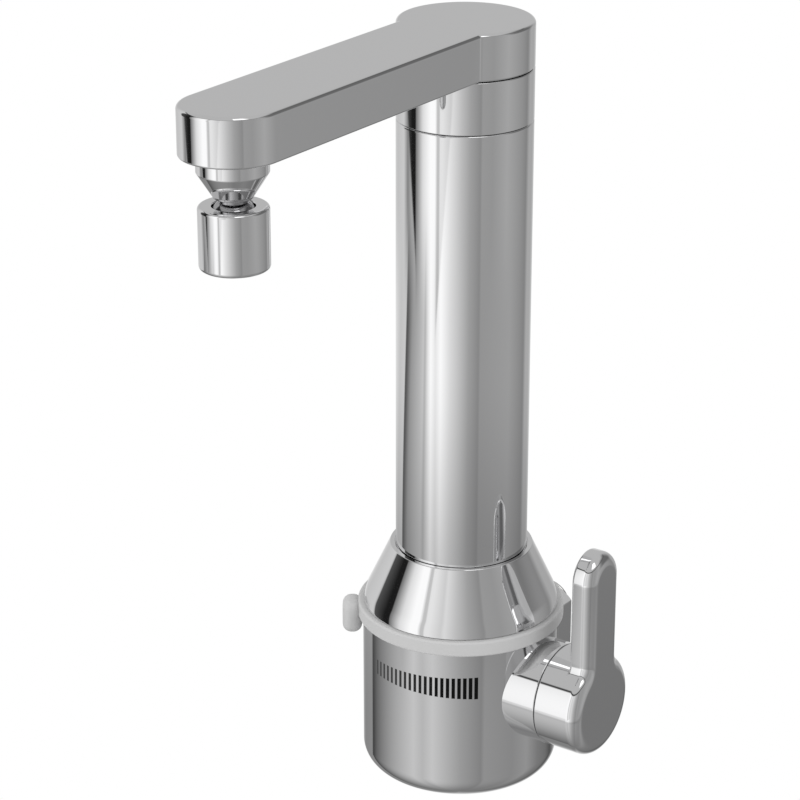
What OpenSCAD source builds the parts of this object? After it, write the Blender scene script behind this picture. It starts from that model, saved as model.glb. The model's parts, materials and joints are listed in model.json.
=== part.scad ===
// Electric instant water heater tap, wall type.
// Every piece is drawn with the tap's own axis at x = y = 0 and its base at z = 0.
// from_wall() then moves it so that the origin is the centre of the wall thread's root.
// The spout points to -Y, the lever is on +X and the wall is on +Y.

/* [Body] */
// Radius of the round body
body_r = 38; // [34:0.5:44]
// Height of the body, base to selector ring
body_h = 63.3; // [60:0.1:72]
// Fillet round the bottom edge of the body
body_fillet = 9; // [4:0.5:10]
// Wall of the body
body_wall = 2.2; // [1.6:0.1:2.4]
// Floor of the body
floor_t = 3; // [2:0.5:5]
// Space between the valve boss and the top of the body
boss_margin = 2; // [1:0.1:4]

/* [Valve boss and lever] */
// Radius of the valve boss and of the lever's hub
hub_r = 19.8; // [18:0.1:20.5]
// Distance that the boss stands out of the body
boss_l = 8.5; // [6:0.1:12]
// Wall of the boss
boss_wall = 3.3; // [2.5:0.1:4]
// Length of the lever's hub
hub_l = 18.7; // [17:0.1:22]
// Height of the lever's tip above the valve axis
lever_l = 63.5; // [50:0.5:80]
// Half of the lever blade's width
blade_half_w = 10.4; // [8:0.1:12]
// Thickness of the lever blade
blade_t = 9.2; // [8:0.1:11]
// Fillet round the outer face of the lever
lever_fillet = 4.6; // [3:0.1:5]
// Rounding of the blade's inner edges
blade_edge_r = 1.2; // [0.5:0.1:2]
// Fillet in the corner between blade and hub
lever_foot_r = 5; // [3:0.5:8]

/* [Selector ring] */
// Distance that the selector ring stands out of the body
ring_lip = 2; // [1.5:0.1:4]
// Height of the selector ring
ring_h = 6; // [5:0.1:8]
// Rounding of the ring's edges
ring_edge_r = 0.8; // [0.3:0.1:1.5]
// Distance that the finger tab stands out of the body
tab_l = 8; // [7:0.1:12]
// Height of the finger tab
tab_h = 13.6; // [10:0.2:16]
// Width of the finger tab along the ring
tab_w = 11; // [8:0.5:14]
// Rounding of the finger tab
tab_round_r = 3.4; // [2:0.1:4]
// Direction of the tab at rest, in degrees from the front
tab_rest_angle = -55; // [-60:1:-50]
// Turn of the ring from coldest to hottest, in degrees
ring_turn = 96; // [80:1:100]
// Half width of the ring's driving lug, in degrees
lug_half_angle = 4; // [3:0.5:6]

/* [Shoulder cone] */
// Height of the cone's neck, from the chamber's flange to the column's collar
cone_neck_h = 5.4; // [4:0.1:12]
// Width of the cone's top rim
rim_w = 2.15; // [1.6:0.05:3]
// Radius of the rounded shoulder
shoulder_r = 21; // [15:0.5:24]
// Depth of the shoulder's centre below the cone's lower edge
shoulder_drop = 3.3; // [1:0.1:5]
// Wall of the cone at its foot
cone_wall = 4.4; // [4:0.1:5]
// Length of the collar that grips the column
cone_lip_h = 5; // [4:0.5:6]
// Width of the groove round the column
groove_w = 0.8; // [0.4:0.1:1]
// Depth of the groove round the column
groove_d = 2; // [1:0.1:3]

/* [Column] */
// Radius of the column
col_r = 25.25; // [25:0.05:25.6]
// Wall of the column tube
col_wall = 1.5; // [1:0.1:1.8]
// Gap between the chamber's flange and the column tube
col_lift = 3.6; // [2.5:0.1:5]
// Height of the column tube's top
col_top_h = 263; // [220:1:320]
// Height of the top collar
collar_h = 19.15; // [17:0.05:24]
// Wall of the top collar
collar_wall = 3; // [2:0.5:4]
// Seam between the column and the collar
seam = 0.25; // [0.1:0.05:0.5]

/* [Spout] */
// Distance from the column's axis to the centre of the spout's tip
spout_reach = 136; // [110:1:180]
// Half of the arm's width, and radius of its tip
arm_half_w = 18; // [17:0.05:19]
// Thickness of the arm
arm_t = 17.25; // [17:0.05:20]
// Wall of the arm
arm_wall = 2; // [1.5:0.1:2.2]
// Fillet round the arm's top edge
arm_fillet = 1.6; // [1:0.1:2.2]
// Thickness of the arm's bottom plate
plate_t = 2.2; // [1.8:0.1:3]
// Space above and below the water channel
channel_gap = 0.6; // [0.4:0.1:1.5]
// Wall of the water channel
channel_wall = 1.4; // [1:0.1:2]
// Turn of the spout to each side, in degrees
spout_turn = 90; // [60:5:120]

/* [Swivel joint] */
// Radius of the spigot that turns in the column
spigot_r = 10; // [9:0.1:11]
// Wall of the spigot
spigot_wall = 4; // [3:0.1:6]
// Length of the spigot below the arm
spigot_l = 31; // [29:0.5:32]
// Wall of the swivel housing outside the stop
stop_wall = 3.25; // [2:0.05:4]
// Thickness of the spigot's flange
spigot_flange_t = 3.6; // [3:0.1:4]
// Reach of the stop lug beyond the flange
stop_lug_l = 3.6; // [3:0.1:4]
// Half width of the stop lug, in degrees
stop_lug_half_angle = 6; // [4:1:10]
// Thickness of the snap ring
clip_t = 1; // [0.8:0.1:1.2]
// Thickness of the spigot's sealing rings
spigot_seal_t = 2.4; // [2:0.1:2.6]
// Depth of the swivel housing in the column
housing_depth = 22; // [20:0.5:26]

/* [Outlet and aerator] */
// Radius of the outlet collar under the tip
outlet_r = 12.2; // [11:0.1:13]
// Height of the outlet collar's straight part
outlet_h = 5.6; // [4:0.1:8]
// Height of the outlet collar's cone
outlet_cone_h = 8; // [6:0.1:9]
// Wall at the lower end of the outlet collar
outlet_foot_wall = 1.2; // [0.8:0.1:2]
// Room for the neck's swing in the cup's mouth
neck_swing = 2.3; // [2:0.1:3.5]
// Wall of the neck above the ball
neck_wall = 2.2; // [1:0.1:3]
// Radius of the ball stud's threaded shank
shank_r = 5.8; // [5.5:0.1:6]
// Radius of the aerator cup
cup_r = 12; // [11.8:0.1:13]
// Height of the flow insert
insert_h = 4.3; // [3:0.1:12]
// Height of the cup's top above the ball's centre
cup_top = 4.9; // [4.5:0.1:5.2]
// Wall of the aerator cup
cup_wall = 2.4; // [2:0.1:2.5]
// Rounding of the cup's edges
cup_edge_r = 1.3; // [0.5:0.1:1.8]
// Distance that the cup's lip reaches over the ball
cup_lip = 0.7; // [0.4:0.1:1]
// Thickness of the seat under the ball
ball_seat_t = 1.3; // [1:0.1:1.35]

/* [Wall inlet] */
// Outside radius of the wall thread, half of 20.955 for the half inch pipe thread
thread_r = 10.48; // [8.3:0.01:13.3]
// Length of the wall thread
thread_l = 14; // [10:0.5:20]
// Distance from the tap's axis to the finished wall
wall_reach = 52; // [46:0.5:75]
// Size of the inlet's hexagon across its flats
hex_af = 24; // [23:0.5:27]
// Wall left under a seal's groove
groove_wall = 0.5; // [0.4:0.1:1.5]

/* [Rear housing] */
// Half of the rear housing's width
rear_half_w = 30; // [26:0.5:32]
// Space under the cable grommet
rear_margin = 1.5; // [1:0.1:4]
// Wall of the rear housing
rear_wall = 2; // [1.5:0.1:2.5]
// Distance of the housing's screws from its sides
screw_inset = 8.4; // [6:0.1:10]
// Radius of the small screws
screw_r = 1.7; // [1.2:0.1:2]
// Space between the cable grommet and the inlet's hexagon
cable_gap = 3; // [1:0.1:5]
// Radius of the supply cable's hole in the grommet
cable_r = 4; // [3:0.1:4.5]
// Outer radius of the grommet's flange
grommet_r = 7.5; // [7:0.1:8]

/* [Valve] */
// Radius of the brass valve body
valve_r = 11.8; // [11:0.1:12]
// Depth of the valve body's open end behind the body's outside
valve_inset = 10; // [8:0.5:12]
// Depth of the cartridge's socket
cartridge_socket = 9; // [8:0.5:10]
// Space between the feed pipe and the edge of the chamber's base
feed_margin = 1.8; // [1:0.1:3]
// Outer radius of the feed pipe
feed_r = 4; // [3.6:0.1:4.2]
// Bore of the feed pipe
feed_bore_r = 2.8; // [2:0.1:3]
// Wall of the valve body round the cartridge
valve_wall = 2.3; // [1.8:0.1:3]
// Wall of the cartridge round its discs
cartridge_wall = 1.5; // [1:0.1:2.5]
// Thickness of the cartridge nut's end wall, with its clearance
nut_cap_t = 3.5; // [2.5:0.1:5]
// Thickness of a ceramic disc
disc_t = 3; // [2.5:0.1:3.5]
// Radius of the spindle
spindle_r = 4.2; // [3.5:0.1:4.5]
// Length of the spindle outside the cartridge
spindle_out = 14; // [13:0.5:15]

/* [Heater] */
// Gap between the heating chamber and the column
chamber_gap = 1.15; // [0.6:0.05:3]
// Wall of the heating chamber
chamber_wall = 2; // [1.5:0.1:2.2]
// Free length of the riser between the chamber and the swivel housing
riser_l = 31.4; // [25:0.1:60]
// Thickness of the chamber's flange
chamber_flange_t = 3.6; // [3:0.1:4]
// Gap between the chamber's base and the cone
base_gap = 1.2; // [0.6:0.1:2]
// Thickness of the chamber's base
chamber_base_t = 8; // [7.5:0.1:8.5]
// Height of the chamber base's underside above the cone's lower edge
base_inset = 2.1; // [1:0.1:4]
// Outer radius of the riser to the spout
riser_r = 6; // [5:0.1:7]
// Bore of the riser
riser_bore_r = 4.5; // [3:0.1:5]
// Radius of the heating coil
coil_r = 14; // [11:0.5:15]
// Radius of the heating element's tube
element_r = 1.7; // [1.2:0.1:2]
// Number of turns of the heating coil
coil_turns = 7; // [4:1:9]
// Space between the element's ends and the chamber's wall
terminal_gap = 1.9; // [1:0.1:3]

/* [Pressure switch] */
// Radius of the pressure switch cover
switch_r = 12.8; // [12:0.1:13]
// Height of the pressure switch cover
switch_h = 10.3; // [10:0.1:10.8]
// Wall and floor of the cover
switch_wall = 2; // [1.6:0.1:2.2]
// Thickness of the rubber diaphragm
diaphragm_t = 1.5; // [1.2:0.1:1.8]
// Radius of the plunger's stem
stem_r = 3.6; // [3:0.1:4]
// Radius of the plunger's disc
plunger_disc_r = 8; // [7:0.1:9]
// Travel of the plunger
plunger_travel = 2.5; // [2:0.1:2.6]
// Thickness of the plunger's disc
plunger_disc_t = 2.2; // [2:0.1:2.4]
// Radius of the plunger spring
spring_r = 5.6; // [5.2:0.1:6]
// Radius of the spring's wire
spring_wire_r = 0.35; // [0.25:0.05:0.4]
// Turns of the plunger spring
spring_turns = 3.5; // [3:0.5:4]
// Length of the contact bridge
bridge_l = 22; // [20:0.5:24]
// Width of the contact bridge
bridge_w = 7; // [6.5:0.5:8]
// Thickness of the contact bridge
bridge_t = 1; // [0.8:0.1:1.2]

/* [Chassis and contacts] */
// Thickness of the chassis plate
chassis_t = 2; // [1.5:0.1:2.2]
// Height of the main contacts' heads
contact_head_h = 0.5; // [0.4:0.1:1.5]
// Wall of the chassis rim
rim_wall = 1.4; // [1:0.1:1.6]
// Height of the rim's top above the chamber base's underside
rim_lap = 0.6; // [0.3:0.1:2]
// Radius of the chassis posts
post_r = 2.4; // [2:0.1:2.6]
// Space between the chassis posts and the contact carrier
post_gap = 2.1; // [1:0.1:4]
// Inner radius of the contact carrier
carrier_in_r = 24.5; // [24:0.1:25]
// Thickness of the contact carrier
carrier_t = 3; // [2.5:0.1:3.5]
// Half width of the contact carrier, in degrees
carrier_half_angle = 13; // [11:1:14]
// Number of selector contacts
contact_count = 6; // [4:1:8]
// Radius of a selector contact
contact_r = 1.8; // [1.2:0.1:2]

/* [Thermal cut-out] */
// Space between the cut-out's can and the pressure switch
cutout_gap = 0.95; // [0.5:0.05:2]
// Radius of the cut-out's can
cutout_r = 6.25; // [5.5:0.25:6.5]
// Height of the can
cutout_h = 8.3; // [7.5:0.1:8.5]
// Width of a tab
cutout_tab_w = 3.2; // [2.8:0.1:3.6]
// Thickness of a tab
cutout_tab_t = 0.8; // [0.6:0.1:1]
// Length of a tab below the can
cutout_tab_l = 4; // [3:0.5:4.5]

/* [Clearances] */
// Gap between pieces that move past each other
run_gap = 0.3; // [0.2:0.05:0.4]
// Gap between pieces of one assembly
seat_gap = 0.1; // [0.05:0.01:0.15]
// Radial clearance of a turning or sliding fit
shaft_gap = 0.06; // [0.03:0.01:0.09]

/* [Hidden] */
// Direction that sets how the rings of a swept tube are turned
tube_guide = [0.3, 1, 0.2];
$fn = 96;
overrun = body_wall / 2;
// Body, ring and cone, from the base up
ring_z = body_h + run_gap;
cone_z = ring_z + ring_h + run_gap;
ring_r = body_r + ring_lip;
tab_reach = body_r + tab_l;
rim_r = body_r - body_wall - seat_gap;
boss_bore_r = hub_r - boss_wall;
boss_reach = body_r + boss_l;
// The chamber's base and what stands on it
chamber_base_h = cone_z + base_inset;
base_step_h = chamber_base_t * 5 / 8;
base_top = chamber_base_h + chamber_base_t;
flange_top = base_top + chamber_flange_t;
rim_top_h = chamber_base_h + rim_lap;
lip_z = flange_top + cone_neck_h;
cone_top_h = lip_z + cone_lip_h;
cone_rim_r = col_r + rim_w;
col_bottom_h = flange_top + col_lift;
// The pressure switch and the chassis hang under the chamber's base
switch_top = chamber_base_h - diaphragm_t;
switch_z = switch_top - switch_h;
switch_floor_top = switch_z + switch_wall;
plunger_disc_z = switch_top - run_gap - plunger_disc_t;
bridge_z = switch_z - run_gap - bridge_t;
contact_top = bridge_z - plunger_travel - run_gap;
chassis_top = contact_top - contact_head_h;
chassis_h = chassis_top - chassis_t;
// The valve sits as high as its boss and the chassis allow
valve_h = min(body_h - boss_margin - hub_r, chassis_h - run_gap - valve_r);
// Swivel and spout
collar_z = col_top_h + seam;
collar_top = collar_z + collar_h;
arm_z = collar_top + run_gap;
housing_z = col_top_h - housing_depth;
spigot_z = arm_z - spigot_l;
spigot_bore_r = spigot_r - spigot_wall;
housing_upper_r = col_r - collar_wall - seat_gap;
spigot_flange_r = housing_upper_r - stop_wall - run_gap - stop_lug_l;
channel_z = arm_z + (arm_t - arm_wall + plate_t) / 2;
channel_r = (arm_t - arm_wall - plate_t) / 2 - channel_gap;
channel_bore_r = channel_r - channel_wall;
// Aerator
cup_in_r = cup_r - cup_wall;
ball_r = cup_in_r - ball_seat_t - run_gap;
cup_mouth_r = ball_r - cup_lip;
neck_r = cup_mouth_r - neck_swing;
ball_bore_r = neck_r - neck_wall;
outlet_cone_r = shank_r + seat_gap + outlet_foot_wall;
ball_z = arm_z - outlet_h - outlet_cone_h - ball_r - seat_gap * 5;
cup_top_z = ball_z + cup_top;
screen_t = cup_edge_r / 2;
insert_z = ball_z - cup_in_r - run_gap - insert_h;
cup_z = insert_z - screen_t * 2 - cup_edge_r;
cup_h = cup_top_z - cup_z;
// Shoulder cone: a straight slope from the rim that touches the round shoulder
shoulder_x = body_r - shoulder_r;
shoulder_z = cone_z - shoulder_drop;
rim_span = [cone_rim_r - shoulder_x, cone_top_h - shoulder_z];
cone_slope = atan2(rim_span[1], rim_span[0]) - acos(shoulder_r / norm(rim_span));
shoulder_join_r = shoulder_x + shoulder_r * cos(cone_slope);
shoulder_join_h = shoulder_z + shoulder_r * sin(cone_slope);
hollow_foot_r = body_r - cone_wall;
hollow_top_r = col_r + body_wall / 2;
hollow_taper = (hollow_foot_r - hollow_top_r) / (lip_z - rim_top_h);
// Chamber, inside the column and the cone's hollow
chamber_r = col_r - col_wall - chamber_gap;
chamber_h = housing_z - flange_top - riser_l;
chamber_base_r = hollow_foot_r - hollow_taper * (chamber_base_h + base_step_h - rim_top_h) - base_gap;
chamber_flange_r = hollow_foot_r - hollow_taper * (flange_top - rim_top_h) - base_gap;
terminal_y = chamber_r - chamber_wall - element_r - terminal_gap;
// Lever
hub_x = boss_reach + run_gap;
lever_x = hub_x + hub_l;
blade_round_z = lever_l - blade_half_w;
foot_y = blade_half_w + lever_foot_r;
foot_z = sqrt(pow(hub_r + lever_foot_r, 2) - pow(foot_y, 2));
// Valve
valve_end = body_r - valve_inset;
feed_x = chamber_base_r - feed_r - feed_margin;
cartridge_r = valve_r - valve_wall - seat_gap;
disc_r = cartridge_r - cartridge_wall - run_gap;
cartridge_x = valve_end - cartridge_socket;
cartridge_end = boss_reach - nut_cap_t;
cartridge_l = cartridge_end - cartridge_x;
inlet_neck_r = cartridge_r;
inlet_bore_r = inlet_neck_r - spigot_seal_t - groove_wall;
inlet_socket_y = valve_r + valve_end / 2 - valve_r / 2;
inlet_socket_l = inlet_socket_y - valve_r;
// The housing takes half of the space between body and wall, and the hexagon the rest
rear_depth_share = 0.5;
rear_r = body_r + (wall_reach - body_r) * rear_depth_share;
hex_start = rear_r + run_gap;
cable_h = valve_h - hex_af / 2 - cable_gap - grommet_r;
rear_bottom_h = cable_h - grommet_r - rear_margin;
housing_screw_x = rear_half_w - screw_inset;
// Selector
front = 270;
tab_angle = front + tab_rest_angle;
carrier_z = chassis_top + carrier_t + run_gap * 2;
lug_z = ring_z + ring_h / 8;
lug_h = ring_h * 3 / 4;
slot_gap_angle = 1;
contact_place_r = (carrier_in_r + rim_r - rim_wall) / 2;
post_place_r = carrier_in_r - post_r - post_gap;
post_angles = [55, 125, 235, 305];
cutout_x = switch_r + cutout_gap + cutout_r;
plate_screw_y_shares = [0.33, 0.78];

// Moves the tap so that the root of the wall thread is the origin.
module from_wall() {
    translate([0, -wall_reach, -valve_h]) children();
}

// Local Z runs along +X at the height of the valve.
module on_valve(x = 0) {
    translate([x, 0, valve_h]) rotate([0, 90, 0]) children();
}

// Local Z runs along +Y at the height of the valve.
module on_inlet(y = 0, z = valve_h) {
    translate([0, y, z]) rotate([-90, 0, 0]) children();
}

module ring(outer, inner, h) {
    difference() {
        cylinder(r = outer, h = h);
        translate([0, 0, -overrun]) cylinder(r = inner, h = h + 2 * overrun);
    }
}

// A can with a rounded bottom edge.
module round_can(r, h, fillet) {
    rotate_extrude() {
        square([r - fillet, h]);
        translate([0, fillet]) square([r, h - fillet]);
        translate([r - fillet, fillet]) circle(fillet);
    }
}

module rounded_square(w, h, r) {
    translate([r, 0]) square([w - 2 * r, h]);
    translate([0, r]) square([w, h - 2 * r]);
    for (x = [r, w - r], y = [r, h - r]) translate([x, y]) circle(r);
}

// An arc of a ring from angle a0 to a1.
module arc_block(inner, outer, h, a0, a1) {
    rotate([0, 0, a0]) rotate_extrude(angle = a1 - a0)
        translate([inner, 0]) square([outer - inner, h]);
}

// A tube swept along a list of points, with each ring square to the path.
module swept_tube(points, r, sides) {
    n = len(points);
    dirs = [for (i = [0 : n - 1])
        let (d = points[min(i + 1, n - 1)] - points[max(i - 1, 0)]) d / norm(d)];
    rings = [for (i = [0 : n - 1])
        let (
            side = cross(dirs[i], tube_guide),
            u = side / norm(side),
            v = cross(dirs[i], u)
        )
        for (k = [0 : sides - 1])
            let (a = 360 * k / sides) points[i] + r * (cos(a) * u + sin(a) * v)];
    quads = [for (i = [0 : n - 2], k = [0 : sides - 1])
        let (m = (k + 1) % sides)
        [i * sides + k, (i + 1) * sides + k, (i + 1) * sides + m, i * sides + m]];
    tris = [for (q = quads) each [[q[0], q[1], q[2]], [q[0], q[2], q[3]]]];
    caps = [
        [for (k = [0 : sides - 1]) k],
        [for (k = [sides - 1 : -1 : 0]) (n - 1) * sides + k]
    ];
    polyhedron(points = rings, faces = concat(tris, caps));
}

module body_shell() {
    color("silver") from_wall() difference() {
        union() {
            round_can(body_r, body_h, body_fillet);
            on_valve() cylinder(r = hub_r, h = boss_reach);
        }
        translate([0, 0, floor_t])
            round_can(body_r - body_wall, body_h, body_fillet - body_wall);
        on_valve(valve_end) cylinder(r = boss_bore_r, h = boss_reach);
        on_inlet() cylinder(r = inlet_neck_r + run_gap, h = body_r + overrun);
        on_inlet(z = cable_h) cylinder(r = cable_r + body_wall, h = body_r + overrun);
        for (s = [-1, 1])
            translate([s * housing_screw_x, 0, 0])
                on_inlet() cylinder(r = screw_r, h = body_r);
    }
}

module rear_plan(outer, half_w, inner) {
    difference() {
        intersection() {
            circle(outer);
            translate([-half_w, 0]) square([2 * half_w, outer]);
        }
        circle(inner);
    }
}

// Flat seat of a housing screw's head.
housing_seat_y = sqrt(pow(rear_r, 2) - pow(housing_screw_x + 2 * screw_r, 2));

module rear_housing() {
    color("silver") from_wall() difference() {
        translate([0, 0, rear_bottom_h])
            linear_extrude(body_h - rear_bottom_h) rear_plan(rear_r, rear_half_w, body_r + seat_gap);
        difference() {
            translate([0, 0, rear_bottom_h + rear_wall])
                linear_extrude(body_h - rear_bottom_h - 2 * rear_wall)
                    rear_plan(rear_r - rear_wall, rear_half_w - rear_wall, body_r - overrun);
            for (s = [-1, 1]) translate([s * housing_screw_x, 0, 0])
                on_inlet() cylinder(r = 3 * screw_r, h = rear_r);
        }
        on_inlet() cylinder(r = inlet_neck_r + run_gap, h = rear_r + overrun);
        on_inlet(z = cable_h) cylinder(r = cable_r + body_wall, h = rear_r + overrun);
        for (s = [-1, 1]) translate([s * housing_screw_x, 0, 0]) {
            on_inlet() cylinder(r = screw_r + seat_gap, h = rear_r);
            on_inlet(housing_seat_y) cylinder(r = 2 * screw_r + seat_gap, h = rear_r);
        }
    }
}

// Pan head screws that hold the rear housing against the body.
module housing_screws() {
    shank_l = rear_r - body_r + 2 * body_wall;
    color("dimgray") from_wall() for (s = [-1, 1]) translate([s * housing_screw_x, 0, 0]) {
        on_inlet(housing_seat_y + seat_gap / 2) cylinder(r = 2 * screw_r, h = screw_r);
        on_inlet(housing_seat_y - shank_l)
            cylinder(r = screw_r - seat_gap, h = shank_l + screw_r);
    }
}

module cable_grommet() {
    y0 = rear_r - rear_wall * 2;
    color("dimgray") from_wall() difference() {
        union() {
            on_inlet(y0, cable_h)
                cylinder(r = cable_r + body_wall - seat_gap, h = rear_wall * 3);
            on_inlet(rear_r + seat_gap, cable_h) cylinder(r = grommet_r, h = rear_wall);
            on_inlet(rear_r + seat_gap + rear_wall, cable_h)
                cylinder(r1 = grommet_r, r2 = cable_r + body_wall / 2, h = rear_wall);
        }
        on_inlet(y0 - overrun, cable_h) cylinder(r = cable_r, h = rear_wall * 6);
    }
}

module inlet_stub() {
    color("goldenrod") from_wall() difference() {
        union() {
            on_inlet(valve_r) cylinder(r = inlet_neck_r, h = wall_reach - valve_r);
            on_inlet(hex_start)
                cylinder(d = hex_af / cos(30), h = wall_reach - hex_start, $fn = 6);
            on_inlet(wall_reach) cylinder(r = thread_r, h = thread_l);
        }
        on_inlet(valve_r - overrun) cylinder(r = inlet_bore_r, h = wall_reach + thread_l);
        on_inlet(valve_r + inlet_socket_l / 3) ring(inlet_neck_r + overrun,
            inlet_neck_r - spigot_seal_t, spigot_seal_t);
    }
}

// Sealing ring in the groove of the inlet's neck.
module inlet_seal() {
    section_r = spigot_seal_t / 2 - seat_gap / 2;
    color("black") from_wall() on_inlet(valve_r + inlet_socket_l / 3 + spigot_seal_t / 2)
        rotate_extrude() translate([inlet_neck_r - section_r + seat_gap / 2, 0])
            circle(section_r, $fn = 32);
}

// Cup of perforated sheet in the mouth of the inlet.
module inlet_strainer() {
    cup_l = thread_l * 2 / 3;
    r = inlet_bore_r - seat_gap;
    sheet = r / 9;
    color("gray") from_wall() on_inlet(wall_reach + thread_l - cup_l) difference() {
        cylinder(r = r, h = cup_l);
        translate([0, 0, sheet]) cylinder(r = r - sheet, h = cup_l);
        for (k = [0 : 5]) rotate([0, 0, 60 * k]) translate([r / 2, 0, -overrun])
            cylinder(r = r / 6, h = 2 * overrun + sheet);
        translate([0, 0, -overrun]) cylinder(r = r / 6, h = 2 * overrun + sheet);
    }
}

module valve_body() {
    feed_len = chassis_h - run_gap - valve_h;
    color("goldenrod") from_wall() difference() {
        union() {
            on_valve(-feed_x) cylinder(r = valve_r, h = feed_x + valve_end);
            on_inlet() cylinder(r = valve_r, h = inlet_socket_y);
            translate([-feed_x, 0, valve_h]) cylinder(r = feed_r + body_wall, h = feed_len);
        }
        on_valve(cartridge_x) cylinder(r = cartridge_r + seat_gap, h = valve_end);
        // Galleries from the inlet to the cartridge and from there to the feed pipe
        on_valve(0) translate([0, disc_r / 2, 0]) cylinder(r = disc_r / 4, h = valve_end);
        on_valve(-feed_x) translate([0, -disc_r / 2, 0])
            cylinder(r = disc_r / 4, h = valve_end + feed_x);
        on_inlet(valve_r) cylinder(r = inlet_neck_r + seat_gap, h = inlet_socket_y);
        on_inlet(disc_r / 4) cylinder(r = disc_r / 2, h = inlet_socket_y);
        translate([-feed_x, 0, valve_h]) cylinder(r = feed_bore_r, h = feed_len * 2);
        translate([-feed_x, 0, valve_h + feed_len / 2])
            cylinder(r = feed_r + seat_gap, h = feed_len);
    }
}

module cartridge_body() {
    color("khaki") from_wall() difference() {
        on_valve(cartridge_x + seat_gap) cylinder(r = cartridge_r, h = cartridge_l);
        on_valve(cartridge_x - overrun)
            cylinder(r = disc_r + run_gap, h = disc_t * 3 + overrun + run_gap * 3);
        on_valve(cartridge_x) cylinder(r = spindle_r + shaft_gap, h = cartridge_l + overrun);
    }
}

module fixed_disc() {
    color("white") from_wall() on_valve(cartridge_x + seat_gap) difference() {
        cylinder(r = disc_r, h = disc_t);
        for (s = [-1, 1]) translate([0, s * disc_r / 2, -overrun])
            cylinder(r = disc_r / 4, h = disc_t + 2 * overrun);
    }
}

module moving_disc() {
    color("white") from_wall() on_valve(cartridge_x + disc_t + seat_gap + run_gap) difference() {
        cylinder(r = disc_r, h = disc_t);
        for (s = [-1, 1]) translate([s * disc_r / 2, 0, -overrun])
            cylinder(r = disc_r / 4, h = disc_t + 2 * overrun);
    }
}

module spindle() {
    start = cartridge_x + disc_t * 2 + seat_gap * 2 + run_gap;
    groove_x = cartridge_end - disc_t * 2;
    color("goldenrod") from_wall() difference() {
        union() {
            on_valve(start) cylinder(r = disc_r, h = disc_t - run_gap);
            on_valve(start) cylinder(r = spindle_r, h = cartridge_end - start + spindle_out);
        }
        on_valve(groove_x) ring(spindle_r + overrun, spindle_r - disc_t / 2, disc_t / 2);
        on_valve(cartridge_end + spindle_out - disc_t * 2)
            cylinder(r = spindle_r / 3, h = disc_t * 3);
    }
}

module spindle_seal() {
    section_r = disc_t / 4 - seat_gap / 2;
    color("black") from_wall() on_valve(cartridge_end - disc_t * 2 + disc_t / 4)
        rotate_extrude() translate([spindle_r - section_r, 0]) circle(section_r, $fn = 24);
}

// Nut that holds the cartridge in the valve body.
module cartridge_nut() {
    color("goldenrod") from_wall() difference() {
        on_valve(valve_end + seat_gap)
            cylinder(r = boss_bore_r - seat_gap, h = boss_reach - valve_end - run_gap * 2);
        on_valve(valve_end - overrun)
            cylinder(r = cartridge_r + seat_gap, h = cartridge_end - valve_end + overrun + seat_gap * 2);
        on_valve(valve_end) cylinder(r = spindle_r + run_gap * 2, h = boss_reach);
        for (k = [0 : 3]) on_valve(boss_reach - body_wall) rotate([0, 0, 90 * k])
            translate([boss_bore_r * 0.7, 0, 0]) cylinder(r = screw_r, h = boss_reach);
    }
}

// Section of the lever across the blade: x is across the width, y is from the outer face inwards.
module blade_half_section() {
    w = blade_half_w;
    t = blade_t;
    f = lever_fillet;
    e = blade_edge_r;
    square([w - f, t]);
    translate([0, f]) square([w, t - f - e]);
    translate([0, f]) square([w - e, t - f]);
    translate([w - f, f]) circle(f);
    translate([w - e, t - e]) circle(e);
}

// Local frame on the lever's outer face: local Y is up, local Z runs inwards.
module on_lever() {
    translate([lever_x, 0, valve_h]) rotate([90, 0, -90]) children();
}

// Fills the corners between the blade and the hub.
module lever_foot() {
    corner = [foot_y, foot_z] * hub_r / (hub_r + lever_foot_r);
    depth = lever_fillet * 0.6;
    for (s = [0, 1]) mirror([s, 0, 0]) translate([0, 0, depth])
        linear_extrude(blade_t - depth - blade_edge_r) difference() {
            polygon([[0, 0], corner, [foot_y, foot_z], [blade_half_w, foot_z], [0, foot_z]]);
            translate([foot_y, foot_z]) circle(lever_foot_r);
        }
}

module lever_handle() {
    bore_l = cartridge_end + spindle_out + run_gap - hub_x;
    color("silver") from_wall() difference() {
        union() {
            // Hub with its rounded outer end
            translate([lever_x, 0, valve_h]) rotate([0, -90, 0]) rotate_extrude() {
                square([hub_r - lever_fillet, hub_l]);
                translate([0, lever_fillet]) square([hub_r, hub_l - lever_fillet]);
                translate([hub_r - lever_fillet, lever_fillet]) circle(lever_fillet);
            }
            // Straight blade
            on_lever() rotate([-90, 0, 0]) mirror([0, 1, 0]) linear_extrude(blade_round_z) {
                blade_half_section();
                mirror([1, 0, 0]) blade_half_section();
            }
            // Round tip
            on_lever() translate([0, blade_round_z, 0]) rotate_extrude() blade_half_section();
            on_lever() lever_foot();
        }
        on_valve(hub_x - overrun) cylinder(r = spindle_r + seat_gap / 2, h = bore_l + overrun);
        on_valve(hub_x - overrun) ring(boss_bore_r - body_wall, spindle_r + body_wall * 1.5,
            hub_l / 2 + overrun);
        translate([hub_x + hub_l / 2 - run_gap, 0, valve_h - hub_r - overrun])
            cylinder(r = screw_r, h = hub_r - spindle_r + overrun);
    }
}

// Grub screw under the hub that grips the spindle.
module lever_screw() {
    color("dimgray") from_wall() translate([hub_x + hub_l / 2 - run_gap, 0, valve_h - hub_r + body_wall])
        difference() {
            cylinder(r = screw_r - seat_gap, h = hub_r - body_wall - spindle_r - seat_gap);
            translate([0, 0, -overrun]) cylinder(r = screw_r / 2, h = body_wall + overrun, $fn = 6);
        }
}

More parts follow.
